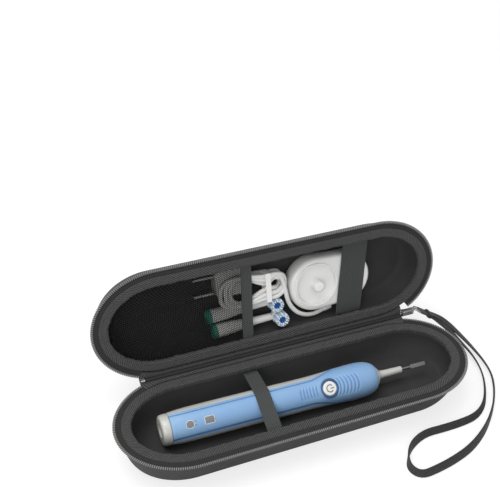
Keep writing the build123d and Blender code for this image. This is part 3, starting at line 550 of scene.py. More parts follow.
def lining_finish():
    """Smooth knit: close rows of small loops, a little paler where it is brushed."""
    made = Finish("lining_knit", "#343435", 0.86, Sheen_Weight=0.04, Sheen_Roughness=0.5)
    along, across = made.uv()
    loops = (along * 7.4).sine() * (across * 9.1).sine() * 0.5 + 0.5
    cloud = made.noise(30, 4)
    made.paint(cloud.over(0.3, 0.75), "#303031", "#393939")
    made.set("Roughness", 0.74 + 0.14 * cloud)
    made.bump(loops * 0.6 + made.noise(900, 2) * 0.4, 0.16, 0.00010)
    return made


def binding_finish():
    """Twill binding: slanting ribs over a finer crossing weave, with uneven threads."""
    made = Finish("binding_twill", "#404040", 0.78, Sheen_Weight=0.1)
    along, across = made.uv()
    drift = made.noise(160, 2) * 1.4
    ribs = (along + across * 1.15 + drift).wave(3.1)
    cross = (along * 1.1 - across + drift).wave(8.2)
    thread = ribs * 0.7 + cross * 0.3
    fleck = made.noise(700, 3)
    made.paint((thread * 0.75 + fleck * 0.5 - 0.1).over(0.15, 1.0), "#1A1A1B", "#555554")
    made.set("Roughness", 0.86 - 0.2 * ribs)
    made.bump(thread, 0.75, 0.00035)
    return made


def tape_finish():
    """Woven zip tape: fine ribs across it."""
    made = Finish("zip_tape_weave", "#1E1E1E", 0.8)
    along, across = made.uv()
    ribs = along.wave(5.2)
    picks = across.wave(9.0)
    made.paint(ribs * 0.6 + made.noise(500, 2) * 0.5, "#151515", "#2D2D2D")
    made.set("Roughness", 0.74 + 0.14 * picks)
    made.bump(ribs * 0.6 + picks * 0.4, 0.5, 0.0002)
    return made


def coil_finish():
    """Nylon coil: painted highlight on its crown, painted shade where the loops meet."""
    made = Finish("zip_coil_nylon", "#B9B9B7", 0.34)
    height = made.uv()[1]
    crown = height.over(-0.5, 0.55)
    # painted light and shade by height in each loop: near black at its foot, pale grey on its crown
    made.paint(crown, "#161616", "#8C8C89")
    made.set("Roughness", 0.42 - 0.12 * crown)
    return made


def elastic_finish():
    """Elastic webbing: fine ribs along it, crossed by uneven picks."""
    made = Finish("elastic_webbing", "#3B3F3E", 0.76, Sheen_Weight=0.08)
    along, across = made.uv()
    ribs = across.wave(5.6)
    picks = (along + made.noise(60, 1) * 0.5).wave(4.6)
    grain = made.noise(800, 2)
    made.paint((ribs * 0.35 + picks * 0.25 + grain * 0.5).over(0.1, 1.0), "#333735", "#444845")
    made.set("Roughness", 0.82 - 0.1 * ribs)
    made.bump(ribs * 0.6 + picks * 0.4, 0.35, 0.00022)
    return made


def mesh_finish():
    """Warp-knit net: holes in staggered rows, nearly clear, between dark threads."""
    made = Finish("pocket_net", "#101010", 0.85, Specular_IOR_Level=0.2)
    along, across = made.uv()
    pitch, reaches = 1.5, []
    for shift in (0.0, 0.5):
        u, v = along / pitch + shift, across / (pitch * 3**0.5) + shift
        u, v = u.math("FRACT", u) - 0.5, v.math("FRACT", v) - 0.5
        reaches.append((u * u + v * v * 3.0).power(0.5))
    far = reaches[0].math("MINIMUM", *reaches)
    thread = far.over(0.38, 0.45)
    made.set("Alpha", 0.06 + thread * 0.94)
    made.paint(made.noise(500, 2), "#0B0B0B", "#191919")
    return made


def webbing_finish():
    """Black herringbone webbing: slanting ribs that turn about its middle line."""
    made = Finish("strap_herringbone", "#2C2C2C", 0.7, Sheen_Weight=0.1)
    along, across = made.uv()
    fold = across.math("PINGPONG", across, strap_width / 2) * 1.6
    ribs = (along + fold).wave(3.6)
    grain = made.noise(900, 2)
    made.paint((ribs * 0.7 + grain * 0.45).over(0.2, 1.0), "#191919", "#383838")
    made.set("Roughness", 0.8 - 0.16 * ribs)
    made.bump(ribs, 0.6, 0.0003)
    return made


def metal_finish(name, colour, rough):
    """Bare metal with a fine uneven sheen."""
    made = Finish(name, colour, rough, Metallic=1.0)
    grain = made.noise(900, 3)
    made.set("Roughness", rough - 0.06 + 0.14 * grain)
    made.bump(grain, 0.06, 0.00005)
    return made


def plastic_finish(name, colour, rough, deep, coat=0.0, grain=1500, strength=0.05):
    """Moulded plastic: one colour with a faint drift towards a deeper one, and a fine skin."""
    made = Finish(name, colour, rough, Coat_Weight=coat, Coat_Roughness=0.08)
    drift, skin = made.noise(35, 2), made.noise(grain, 2)
    made.paint(drift.over(0.35, 0.75), colour, deep)
    made.set("Roughness", rough - 0.05 + 0.1 * skin)
    made.bump(skin, strength, 0.00005)
    return made


def panel_finish():
    """Soft-touch blue: painted shade makes the grooves and the rib valleys deeper blue (UV across is the
    cut's depth).
    """
    made = Finish("soft_touch_blue", "#86ADD6", 0.42, Sheen_Weight=0.05)
    cut = made.uv()[1]
    drift, skin = made.noise(28, 2), made.noise(1700, 2)
    plain = made.mix(drift.over(0.3, 0.75), "#83AAD6", "#8CB3DA")
    # painted shade: deeper blue by the depth of the grooves, rib valleys and rolled rim
    made.paint(cut.over(0.05, 0.75), plain, "#5480B4")
    made.set("Roughness", 0.38 + 0.12 * skin)
    made.bump(skin, 0.08, 0.00005)
    return made


def bristle_finish():
    """Nylon tufts: tag 0 pale, 1 light blue, 2 deep blue; fine filaments up each tuft."""
    made = Finish("nylon_tufts", "#E4EEF6", 0.45)
    tag = made.uv()[0]
    grain = made.noise(2600, 2)
    pale = made.mix(tag.over(0.4, 0.9), "#EDF2F6", "#A9C8E6")
    made.paint(tag.over(1.4, 1.9), pale, "#1E63B4")
    made.set("Roughness", 0.4 + 0.2 * grain)
    made.bump(grain, 0.5, 0.0002)
    return made


def light_pipe_finish(name, colour, pale):
    """Cloudy light pipe under a thin coat."""
    made = Finish(name, colour, 0.25, Coat_Weight=0.4)
    cloud = made.noise(300, 2)
    made.paint(cloud, colour, pale)
    return made


finishes = {
    "case_shell": shell_finish(),
    "lining": lining_finish(),
    "binding": binding_finish(),
    "zip_tape": tape_finish(),
    "zip_coil": coil_finish(),
    "elastic": elastic_finish(),
    "mesh": mesh_finish(),
    "webbing": webbing_finish(),
    "zip_metal": metal_finish("zip_nickel", "#C2C3C4", 0.3),
    "knob": plastic_finish("knob_rubber", "#1F1F1F", 0.6, "#262626", grain=900, strength=0.2),
    "handle_white": plastic_finish("handle_off_white", "#CDCDC8", 0.34, "#C6C6C0", coat=0.15),
    "handle_blue": panel_finish(),
    "moat": plastic_finish("seal_blue_rubber", "#3D5F92", 0.5, "#33507A"),
    "button_white": plastic_finish("button_gloss", "#F2F2EF", 0.22, "#EBEBE8", coat=0.4),
    "window": light_pipe_finish("window_pipe", "#8A8886", "#7B7A79"),
    "light_red": light_pipe_finish("signal_red_pipe", "#C8303C", "#D8525C"),
    "steel": metal_finish("brushed_stainless", "#A2A19F", 0.34),
    "seal": plastic_finish("seal_silicone", "#2B2B2B", 0.6, "#232323"),
    "board": plastic_finish("glass_fibre_board", "#1F5C38", 0.5, "#184B2D"),
    "winding": metal_finish("copper_winding", "#B8733A", 0.35),
    "charger_white": plastic_finish("charger_gloss", "#EFEFED", 0.24, "#E8E8E6", coat=0.3),
    "ferrite": plastic_finish("ferrite_rod", "#3A3A3C", 0.6, "#2F2F31"),
    "cord_white": plastic_finish("lead_pvc", "#E9E9E7", 0.45, "#DFDFDD", grain=600, strength=0.12),
    "tie_white": plastic_finish("tie_plastic", "#F4F4F2", 0.35, "#ECECEA"),
    "blade": metal_finish("blade_nickel", "#C8C8C6", 0.28),
    "head_white": plastic_finish("head_gloss", "#F1F1EE", 0.26, "#E9E9E6", coat=0.2),
    "ring_green": plastic_finish("ring_teal", "#3FA08C", 0.4, "#37917F"),
    "bristle": bristle_finish(),
}


def wear(piece, slot):
    """Puts a slot's finish on a piece in place of whatever it had."""
    piece.data.materials.clear()
    piece.data.materials.append(finishes[slot].material)


def settle(piece, body, slot, *nodes):
    """Dresses a new piece in its slot's finish, rides it on a body and hides the CAD nodes it stands for."""
    wear(piece, slot)
    if body:
        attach(piece, body)
    if nodes:
        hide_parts(*nodes)
    return piece


nodes = frame["nodes"]
for sub in frame["record"]["subparts"]:
    wear(nodes[sub["node"]], sub["material_slot"])

settle(lead, "lid", "cord_white", "charger_lead", "lead_hank")
settle(strap, None, "webbing", "wrist_strap")

# --- case: shells, linings, bindings and zips ---
rng = np.random.default_rng(11)
rim_steps = np.linspace(0, rim_length, 420, endpoint=False)


def bowl_wall(edge, depth, steps=14):
    """Quarter ellipse from the rim edge down to the floor, as (inset, depth)."""
    angle = np.linspace(0, pi / 2, steps)
    return np.c_[edge + wall_run * (1 - np.cos(angle)), edge_drop + (depth - edge_drop) * np.sin(angle)]


def bowl(outer, outer_depth, inner, inner_depth):
    """Section of a bowl from the middle of its outer floor over its edge to the inner floor."""
    out, within = bowl_wall(outer, outer_depth), bowl_wall(inner, inner_depth)
    floor = [(inset, outer_depth) for inset in (39.2, 34, 27, 20, 15)]
    bed = [(inset, inner_depth) for inset in (18, 22, 28, 34, 39.2)]
    low = edge_drop + 0.3
    edge = [(outer, low), (outer + 0.25, edge_drop), (inner - 0.25, edge_drop), (inner, low)]
    return np.array([*floor, *out[::-1][:-1], *edge, *within[1:], *bed])


def uneven(marks, size, waves):
    """Slow wander along the rim: a sum of sines with fixed phases."""
    phases = rng.uniform(0, 2 * pi, len(waves))
    swings = [np.sin(2 * pi * n * marks / rim_length + phase) for n, phase in zip(waves, phases)]
    return size * sum(swings) / len(waves)


halves = {"base": in_base, "lid": in_lid}
zip_end = 104.0
lid_zip_end = 110.0
hinge_runs = {"base": (mark_at(zip_end), rim_length - mark_at(zip_end)),
              "lid": (mark_at(lid_zip_end), rim_length - mark_at(zip_end))}
binding_waves = [31, 47, 73, 112, 149]
fine_steps = np.linspace(0, rim_length, 1200, endpoint=False)
coil_depth = 0.93
tooth_pitch = 1.4
shell_section = bowl(shell_edge, shell_depth, shell_edge + shell_wall, shell_depth - shell_wall)
lining_section = bowl(6.6, 25.4, inner_edge, floor_depth)
binding_section = rounded([
    (4.85, 1.85), (4.8, 0.55), (6.2, 0.25), (8.4, 0.42), (10.2, 0.25), (11.5, 0.8), (11.4, 1.9), (11.0, 2.2),
    (10.9, 4.8), (7.5, 4.7), (7.45, 2.0), (6.4, 1.9),
], 0.5, 3)
tape_section = rounded([
    (0.5, 0.95), (5.3, 0.95), (5.3, 1.6), (3.7, 1.65), (3.68, 7.0), (2.95, 7.0), (2.9, 1.7), (0.5, 1.6),
], 0.3, 3)
core_section = rounded([(-0.55, 0.6), (0.95, 0.6), (0.95, 1.5), (-0.55, 1.5)], 0.4, 3)
tooth_points, tooth_faces = bead(8, 4, 2.25, 1.0, 1.5)


def zip_teeth(half, place, first, last):
    """Row of coil loops from one mark to the other, each a bead across the zip's line."""
    def at(shift, inset, depth):
        return place(*rim(marks + shift, inset), depth)

    marks = np.linspace(first + 0.5, last - 0.5, int((last - first - 1) / tooth_pitch) + 1)
    middle = at(0, 0.0, coil_depth)
    inward = at(0, 1.0, coil_depth) - middle
    ahead = at(0.2, 0.0, coil_depth) - at(-0.2, 0.0, coil_depth)
    down = at(0, 0.0, coil_depth + 1) - middle
    axes = np.stack([v / np.linalg.norm(v, axis=1)[:, None] for v in (inward, ahead, -down)], axis=1)
    return copies(f"{half}_zip_teeth", tooth_points, tooth_faces, middle, axes)


for half, place in halves.items():
    wander = uneven(fine_steps, 0.55, binding_waves)
    run = np.linspace(*hinge_runs[half], 600)
    for piece, section, steps, slot, node, more in (
        ("shell_moulding", shell_section, rim_steps, "case_shell", "shell", {}),
        ("lining_cloth", lining_section, rim_steps, "lining", "lining", {}),
        ("binding_cloth", binding_section, fine_steps, "binding", "binding", {"waver": wander}),
        ("zip_tape_cloth", tape_section, run, "zip_tape", "zip_tape", {"ring": False}),
    ):
        settle(rim_sweep(f"{half}_{piece}", place, section, steps, **more), half, slot, f"{half}_{node}")
    settle(zip_teeth(half, place, *hinge_runs[half]), half, "zip_coil", f"{half}_zip_coil")
    settle(rim_sweep(f"{half}_zip_core", place, core_section, run, ring=False), half, "zip_tape")

# hinge strips: down the back wall, folded over the edge, and the folded bead on the hinge line
spine_run = np.linspace(-zip_end, zip_end, 160)
strip_inset = 36.1
gusset_drop = 3.0


def strip_section(line, thick):
    """Closed section of a strip: its middle line offset by half its thickness to both sides."""
    line = np.asarray(line, dtype=float)
    normal = np.gradient(line, axis=0)[:, ::-1] * (1, -1)
    normal /= np.linalg.norm(normal, axis=1)[:, None]
    return rounded(np.vstack([line + normal * thick / 2, (line - normal * thick / 2)[::-1]]), 0.25, 2)


for half, place, tail in (("base", in_base, [(38.9, 1.25)]), ("lid", in_lid, [(38.3, 1.5), (39.1, 1.78)])):
    fold = [(strip_inset, 14.0), (36.12, 10.0), (strip_inset, 6.0), (36.12, 3.2), (36.25, 2.0), (36.8, 1.4),
            (37.4, 1.26), *tail]
    fold_to = tail[-1][0]
    section = strip_section(fold, 0.7)
    # past the straight back the strip widens into a gusset between the curving rim and the hinge line
    past = np.clip(np.abs(spine_run) - straight_half, 0, None)[:, None]
    wall = half_width * np.sqrt(1 - (past / end_reach) ** 2) - 3.3
    spread = wall + (section[None, :, 0] - strip_inset) * (fold_to - wall) / (fold_to - strip_inset)
    drop = np.where(past > 0, np.minimum(section[None, :, 1], gusset_drop), section[None, :, 1])
    grid = place(spine_run[:, None] + 0 * drop, spread, drop)
    strip = surface(f"{half}_hinge_strip", grid, spine_run + zip_end, closed(section))
    settle(strip, half, "binding", f"spine_{half}")


def wire_section(radius):
    """Round section of a wire or bead."""
    turn = np.linspace(0, 2 * pi, 20, endpoint=False)
    return np.c_[radius * np.cos(turn), radius * np.sin(turn)]


bead_x = np.linspace(-zip_end, 113.6, 220)
bead_line = np.c_[bead_x, half_width + 0 * bead_x, shell_depth + 0 * bead_x]
hinge_bead = ribbon("hinge_bead", bead_line, np.tile([0.0, 1.0, 0.0], (220, 1)), wire_section(1.08))
settle(hinge_bead, "base", "zip_tape", "spine_base")

# --- elastic over the handle, elastic band and net pocket in the lid ---
handle_start = np.array([-100.2, 4.9])
handle_yaw = radians(-1.2)
handle_roll = radians(40.0)
handle_z = 14.1
strap_x = -27.0
strap_slant = radians(3.7)
strap_wrap = 12.97
seam_reach, seam_height = 31.6, 20.6
wall_reach = 31.5
mouth_x, mouth_slant = -18.7, -2.4


def elastic_section(width, thick, lip=0.12):
    """Flat band with raised selvedges, closed; its first number runs across the band."""
    w, t = width / 2, thick / 2
    top = [(-w, t), (-w + 1.0, t + lip), (-w + 1.6, t - 0.05), (-w / 3, t),
           (w / 3, t), (w - 1.6, t - 0.05), (w - 1.0, t + lip), (w, t)]
    return rounded([*top, *[(x, -y) for x, y in top[::-1]]], 0.28, 3)


def touch(end, centre, radius, side):
    """Angle at which a line from end touches a circle, on its upper side."""
    span, rise = end[0] - centre[0], end[1] - centre[1]
    return atan2(rise, span) + side * (pi / 2 - asin(radius / hypot(span, rise)))


def make_base_strap():
    """Elastic pulled over the round handle: line, arc and line, carried in its slanted plane."""
    middle_y = handle_start[1] + (strap_x - handle_start[0]) * sin(handle_yaw) / cos(handle_yaw)
    ends = [(-seam_reach - middle_y, seam_height), (seam_reach - middle_y, seam_height)]
    first, last = (touch(end, (0, handle_z), strap_wrap, side) for end, side in zip(ends, (-1, 1)))
    sweep = np.linspace(first, last, 60)
    arc = np.c_[strap_wrap * np.cos(sweep), handle_z + strap_wrap * np.sin(sweep)]
    t = np.linspace(0, 1, 26)[:, None]
    line = np.vstack([(1 - t) * ends[0] + t * arc[0], arc[1:-1], (1 - t) * arc[-1] + t * ends[1]])
    reach, height = line.T
    points = np.c_[strap_x + reach * sin(strap_slant), middle_y + reach * cos(strap_slant), height]
    wide = np.tile([cos(strap_slant), -sin(strap_slant), 0.0], (len(points), 1))
    return ribbon("base_strap_elastic", points, wide, elastic_section(10.7, 0.84))


settle(make_base_strap(), "base", "elastic", "base_strap")


def lid_strip(name, x, slant, depth, dip, section):
    """Band straight across the lid at a depth; its two ends dip where they are sewn to the wall."""
    turn = radians(slant)
    t = np.linspace(-1, 1, 70)
    across = t * wall_reach
    points = in_lid(x + across * sin(turn), across, depth + dip * np.abs(t) ** 10)
    ahead = in_lid(np.array([1.0, 0.0]), np.array([0.0, 0.0]), 0.0)
    wide = np.tile(ahead[0] - ahead[1], (70, 1))
    return ribbon(name, points, wide, section)


lid_band = lid_strip("lid_band_elastic", 67.4, -8.6, 9.1, 0.5, elastic_section(20.4, 0.9, 0.14))
settle(lid_band, "lid", "elastic", "lid_band")


def make_net():
    """Net stretched over the lid's left: rows between the rim and the slanted mouth, slightly slack."""
    v = np.linspace(-wall_reach, wall_reach, 90)[:, None]
    t = np.linspace(0, 1, 130)[None, :]
    left = -straight_half - 39.8 * np.sqrt(1 - (v / 31.62) ** 2)
    right = mouth_x - 3.6 + v * sin(radians(mouth_slant))
    x = left + (right - left) * t
    slack = 0.5 * np.sin(pi * t) * (1 - (v / wall_reach) ** 2)
    depth = 5.15 + slack + 0 * x
    top, under = in_lid(x, v + 0 * x, depth - 0.12), in_lid(x, v + 0 * x, depth + 0.12)
    sheet = np.concatenate([top, under[:, ::-1]], axis=1)
    mesh_along = np.linspace(0, 63, 91)[:90]
    columns = np.r_[t[0] * 100, t[0][::-1] * 100, 0.0]
    return surface("pocket_net", sheet, mesh_along, columns, sharp=60)


net = settle(make_net(), "lid", "mesh", "mesh_pocket")
net_edge = lid_strip("pocket_edge_elastic", mouth_x, mouth_slant, 5.35, 0.0, elastic_section(8.1, 0.84, 0.16))
settle(net_edge, "lid", "elastic", "pocket_edge")

# --- charger ---
charger_x, charger_d = 38.5, 37.0
seat_radius, tail_radius, tail_reach = 21.4, 20.0, 25.0


def charger_outline(inset, angle):
    """Hull of the seat's and the tail's circles, drawn in by inset, by the angle of its normal."""
    split = np.arccos((seat_radius - tail_radius) / tail_reach)
    tail = np.abs(np.angle(np.exp(1j * angle))) < split
    radius = np.where(tail, tail_radius, seat_radius) - inset
    return np.where(tail, tail_reach, 0.0) + radius * np.cos(angle), radius * np.sin(angle)


def make_charger():
    """One skin: foot, rounded side, top, round seat ring, dish and peg, ring after ring."""
    angle = np.linspace(0, 2 * pi, 120, endpoint=False)
    body = [(19.6, 22.35), (8.0, 22.38), (1.6, 22.38), (0.5, 22.1), (0.15, 21.3), (0.1, 17.0), (0.35, 13.2),
            (0.8, 11.6), (1.5, 10.7), (2.4, 10.2), (3.4, 10.0)]
    seat = [(18.0, 10.0), (17.35, 9.95), (17.2, 9.75), (17.2, 9.3), (16.95, 9.05), (16.4, 9.0), (15.95, 9.1),
            (15.75, 9.4), (15.65, 11.6), (15.3, 12.05), (14.6, 12.2), (9.0, 12.25), (5.4, 12.2), (4.6, 11.9),
            (4.2, 11.2), (4.05, 8.0), (3.95, 5.2), (3.7, 4.6), (3.2, 4.3), (2.4, 4.2), (0.4, 4.2)]
    rows = [(*charger_outline(inset, angle), np.full_like(angle, depth)) for inset, depth in body]
    rows += [(r * np.cos(angle), r * np.sin(angle), np.full_like(angle, depth)) for r, depth in seat]
    x, y, depth = (np.array(column) for column in zip(*rows))
    grid = in_lid(charger_x + x, half_width - charger_d + y, depth)
    along, girth = np.arange(len(rows), dtype=float), np.linspace(0, 135, 121)
    return surface("charger_skin", grid, along, girth, sharp=32)


settle(make_charger(), "lid", "charger_white", "charger_housing")

# --- brush heads ---
head_spots = {1: ((5.5, 28.8), (-46.0, 27.6), 18.4), 2: ((8.2, 17.3), (-43.0, 15.9), 16.6)}


def head_placer(number):
    """Map of (along from the foot, side, up out of the lid) into the case for one head, and its length."""
    (disc_x, disc_d), (foot_x, foot_d), axis_depth = head_spots[number]
    long = hypot(disc_x - foot_x, disc_d - foot_d)
    ux, ud = (disc_x - foot_x) / long, (disc_d - foot_d) / long

    def place(along, side, up):
        x, d = foot_x + along * ux - side * ud, foot_d + along * ud + side * ux
        return in_lid(x, half_width - d, axis_depth - up)

    return place, long


seat_lift = 3.75
tuft_mid = 3.68
for number in head_spots:
    place, long = head_placer(number)
    bore = [(12, 0.05), (12, 3.35), (4.0, 3.4)]
    sleeve = [*bore, (3.0, 3.5), (3.05, 5.0), (3.3, 5.3), (8, 5.2), (16, 4.75), (21, 4.2), (26, 3.5),
              (30, 3.15), (36, 2.95), (long - 8, 2.8), (long - 5, 2.75), (long - 4.2, 2.3),
              (long - 4.2, 0.05)]
    skin = turned(f"head{number}_sleeve_skin", place, sleeve, turns=48)
    settle(skin, "lid", "head_white", f"head{number}_sleeve")

    def hub_place(lift, side, back, place=place, long=long):
        """Maps (up the disc's axis, ahead of it, beside it) into the case."""
        return place(long + side, back, lift)

    hub = [(-2.8, 0.1), (-2.8, 3.6), (-2.4, 4.5), (-1.2, 4.95), (0.6, 4.95), (1.3, 4.8), (1.55, 4.4),
           (1.55, 0.1)]
    hub_skin = turned(f"head{number}_hub", hub_place, hub, turns=40)
    settle(hub_skin, "lid", "head_white", f"head{number}_sleeve")
    disc = [(1.85, 0.1), (1.85, 5.1), (2.1, 5.45), (2.9, 5.5), (3.45, 5.3), (seat_lift, 4.8),
            (seat_lift, 0.1)]
    plate_skin = turned(f"head{number}_brush_plate", hub_place, disc, turns=40)
    settle(plate_skin, f"brush_disc_{number}", "head_white", f"head{number}_disc")
    spots, tags = [(0.0, 0.0)], [2.0]
    for ring, count, tag in ((1.75, 6, 2.0), (3.3, 11, 0.0), (4.6, 16, 0.0)):
        for k in range(count):
            turn = 2 * pi * (k + 0.5 * (count % 2)) / count
            spots.append((ring * cos(turn), ring * sin(turn)))
            tags.append(1.0 if tag == 0.0 and ring > 4 and k % 2 else tag)
    spots = np.array(spots)
    tuft_points, tuft_faces = bead(7, 6, 1.35, 1.35, 7.4, power=5.0)
    centres = hub_place(seat_lift + tuft_mid - 0.3 * (np.array(tags) == 2), spots[:, 0], spots[:, 1])
    origin, step = hub_place(0.0, 0.0, 0.0), np.eye(3)
    axes = np.stack([hub_place(*(step[i])[[2, 0, 1]]) - origin for i in range(3)])
    frames = np.tile(axes, (len(spots), 1, 1))
    tufts = copies(f"head{number}_tufts", tuft_points, tuft_faces, centres, frames, tags, sharp=60)
    settle(tufts, f"brush_disc_{number}", "bristle", f"head{number}_bristles")

# --- handle ---
flat_back = 10.6


def in_tray(s, side, up):
    """Maps (along the handle, to its left, above its axis) into the case."""
    x = handle_start[0] + s * cos(handle_yaw) - side * sin(handle_yaw)
    y = handle_start[1] + s * sin(handle_yaw) + side * cos(handle_yaw)
    return np.stack(np.broadcast_arrays(x, y, handle_z + up), axis=-1)


def on_handle(s, side, out, low=-np.inf):
    """Maps (along the handle, across its panel, out through its panel) into the case, not below low."""
    up = side * sin(handle_roll) + out * cos(handle_roll)
    return in_tray(s, side * cos(handle_roll) - out * sin(handle_roll), np.maximum(up, low))


def flattened(s, side, out):
    """As on_handle, with what would lie below the handle's flat raised to it."""
    return on_handle(s, side, out, -flat_back)


panel_out = np.array([sin(handle_roll) * sin(handle_yaw), -sin(handle_roll) * cos(handle_yaw),
                      cos(handle_roll)])
# the handle's form: outer radius at stations along it
form_s, form_r = np.array([
    (0.0, 10.85), (6.3, 10.95), (14, 11.5), (30, 11.75), (50, 11.76), (70, 11.75), (90, 11.64), (104, 11.56),
    (116, 11.7), (128, 12.2), (138, 12.65), (146, 12.8), (151, 12.6), (155.5, 11.9), (158, 11.15),
    (160, 10.2), (161.6, 9.1), (162.6, 7.9), (163.0, 7.1),
]).T
end_slope = -6.0
panel_half_width = 9.6
grip_from, grip_long = 108, 32
grip_half_angle = radians(103)
body_end = 163.0
panel_end = 162.9


def fade(left, length):
    """0 where nothing is left, 1 from length on, straight between."""
    return np.clip(left / length, 0, 1)


def within(far, limit, steep):
    """1 inside a limit, 0 outside, a soft step between."""
    return 1 / (1 + np.exp(np.clip((far - limit) * steep, -30, 30)))


def handle_radius(s):
    """Outer radius along the handle: a smooth curve through its stations."""
    slopes = np.gradient(form_r, form_s)
    slopes[-1] = end_slope
    i = np.clip(np.searchsorted(form_s, s) - 1, 0, len(form_s) - 2)
    h = form_s[i + 1] - form_s[i]
    t = (s - form_s[i]) / h
    return ((2 * t**3 - 3 * t**2 + 1) * form_r[i] + (t**3 - 2 * t**2 + t) * h * slopes[i]
            + (3 * t**2 - 2 * t**3) * form_r[i + 1] + (t**3 - t**2) * h * slopes[i + 1])


def panel_edge(s):
    """Half the angle that the blue panel spans: a strip of even width that widens round the grip."""
    spread = fade(s - grip_from, grip_long)
    spread = spread * spread * (3 - 2 * spread)
    strip = np.arcsin(np.clip(panel_half_width / handle_radius(s), 0, 0.98))
    return strip * (1 - spread) + grip_half_angle * spread


body_s = np.r_[6.3, 6.45, 6.7, np.linspace(8, 155, 90), np.linspace(156, body_end, 20)]
body_r = handle_radius(body_s)
body_r[:3] -= (0.5, 0.12, 0.0)
round_steps = 160
panel_bed = 1.95
panel_thick = 1.75


def make_housing():
    """Handle's off-white body: its form about the axis, sunk to a bed where the panel lies over it."""
    angle = np.linspace(-pi, pi, round_steps, endpoint=False)
    inside = (panel_edge(body_s)[:, None] - np.abs(angle)[None, :]) * body_r[:, None]
    sunk = fade(inside - 0.5, 0.5) * fade(162.6 - body_s[:, None], 0.4)
    end = np.full((1, round_steps), 0.1)
    radius = np.vstack([end, body_r[:, None] - 0.02 - panel_bed * sunk, end])
    s = np.r_[body_s[0], body_s, body_s[-1]]
    grid = flattened(s[:, None], -radius * np.sin(angle), radius * np.cos(angle))
    return surface("handle_skin", grid, s, 12.0 * np.linspace(0, 2 * pi, round_steps + 1), sharp=35)


settle(make_housing(), "handle", "handle_white", "handle_housing")

cap = [(8.6, 0.1), (8.6, 4.5), (0.25, 4.6), (0.0, 4.9), (0.0, 8.7), (0.2, 9.6), (0.8, 10.25), (1.8, 10.6),
       (3.5, 10.75), (5.7, 10.8), (5.95, 10.7), (6.05, 10.4), (6.05, 0.1)]
settle(turned("end_cap_skin", flattened, cap, turns=96), "handle", "handle_white", "end_cap")

button_s = 122.4


def make_panel():
    """Blue skin over the top: an arch of the handle's form whose sides reach further down past the grip.

    Its height over the handle's form is 0.14, less the grooves beside each edge and the gaps
    between the ribs; the depth of those cuts is kept as the UV's second number, for painted shade in them.
    """
    s = np.unique(np.r_[6.35, 6.5, np.arange(7, 97, 1.2), np.arange(97, 115, 0.2), np.arange(115, 128, 0.5),
                        np.arange(128, 148, 0.2), np.arange(148, 159, 0.6), np.linspace(159, panel_end, 14)])
    radius = handle_radius(s)
    edge = panel_edge(s)
    t = np.unique(np.r_[np.linspace(-1, 1, 97), -0.992, 0.992, -0.975, 0.975])
    angle = edge[:, None] * t[None, :]
    s_at, radius_at = s[:, None], radius[:, None]
    lateral = radius_at * np.sin(angle)
    ends = fade(s_at - 6.4, 0.4) * fade(panel_end - s_at, 0.4)
    rim_cut = fade(np.abs(t)[None, :] - 0.965, 0.035) ** 2
    reach = radius_at * edge[:, None]
    far = np.abs(np.abs(radius_at * angle) - (reach - 2.2)) / (0.55 + 0.5 * (angle > 0))
    groove = np.exp(-far**2) * fade(158 - s_at, 14)
    ribs = 0
    for centre, pitch, wide in ((106.4, 2.4, 4.0), (137.6, 2.8, 6.4)):
        bent = s_at - centre - 0.035 * lateral**2 * (1 if centre < button_s else -1)
        inside = within(np.abs(bent), 3 * pitch, 6) * within(np.abs(lateral), wide, 2.2)
        ribs = ribs + inside * (0.5 - 0.5 * np.cos(2 * pi * bent / pitch)) ** 1.5
    well = within(np.hypot(s_at - button_s, lateral), 6.75, 9)
    # how deep the painted shade is: grooves, rib valleys and the panel's rolled rim
    cut = np.clip(groove * 0.9 + ribs * 0.55 + rim_cut * 0.5, 0, 1)
    lift = np.maximum(0.14 - 0.5 * groove - 0.42 * ribs - 0.45 * rim_cut - 1.5 * well, -1.6)
    over, below = radius_at + lift * ends - 0.4 * (1 - ends), radius_at - panel_thick
    top = on_handle(s_at, -over * np.sin(angle), over * np.cos(angle))
    under = on_handle(s_at, -below * np.sin(angle), below * np.cos(angle))
    grid = np.concatenate([top, under[:, ::-1]], axis=1)
    marks = np.stack([s_at + 0 * cut, cut], axis=-1)
    marks = np.concatenate([marks, marks[:, ::-1]], axis=1)
    columns = np.arange(2 * len(t) + 1, dtype=float)
    return surface("handle_panel_skin", grid, s, columns, sharp=50, marks=marks)


settle(make_panel(), "handle", "handle_blue", "handle_panel")


def skin_height(s, side):
    """Height of the handle's form over its axis, at a place along and beside it."""
    return np.sqrt(np.maximum(handle_radius(s) ** 2 - side**2, 0.0))


def on_skin(name, outline, low, high, sharp=35):
    """Closed plate that follows the handle's form: outline of (s, side), rising from low to high over it."""
    outline = np.asarray(outline, dtype=float)
    middle = outline.mean(axis=0)
    rows = []
    for grow, lift in ((1.0, low), (1.0, high - 0.06), (0.97, high), (0.7, high), (0.35, high), (0.02, high)):
        ring = middle + (outline - middle) * grow
        rows.append(on_handle(ring[:, 0], ring[:, 1], skin_height(ring[:, 0], ring[:, 1]) + lift))
    grid = np.array(rows)
    return surface(name, grid, np.arange(6.0), closed(outline), sharp=sharp)


def oblong(middle, long, wide, corner, steps=6):
    """Rounded rectangle about a middle, its outline in short even steps."""
    turn = np.linspace(0, pi / 2, steps)
    ring = []
    for k, (sx, sy) in enumerate(((1, 1), (-1, 1), (-1, -1), (1, -1))):
        bend = turn + k * pi / 2
        x = sx * (long / 2 - corner) + corner * np.cos(bend)
        ring.append(np.c_[x, sy * (wide / 2 - corner) + corner * np.sin(bend)])
    ring = np.vstack(ring) + middle
    marks = closed(ring)
    places, ring = np.arange(0, marks[-1], 0.35), np.vstack([ring, ring[:1]])
    return np.c_[np.interp(places, marks, ring[:, 0]), np.interp(places, marks, ring[:, 1])]


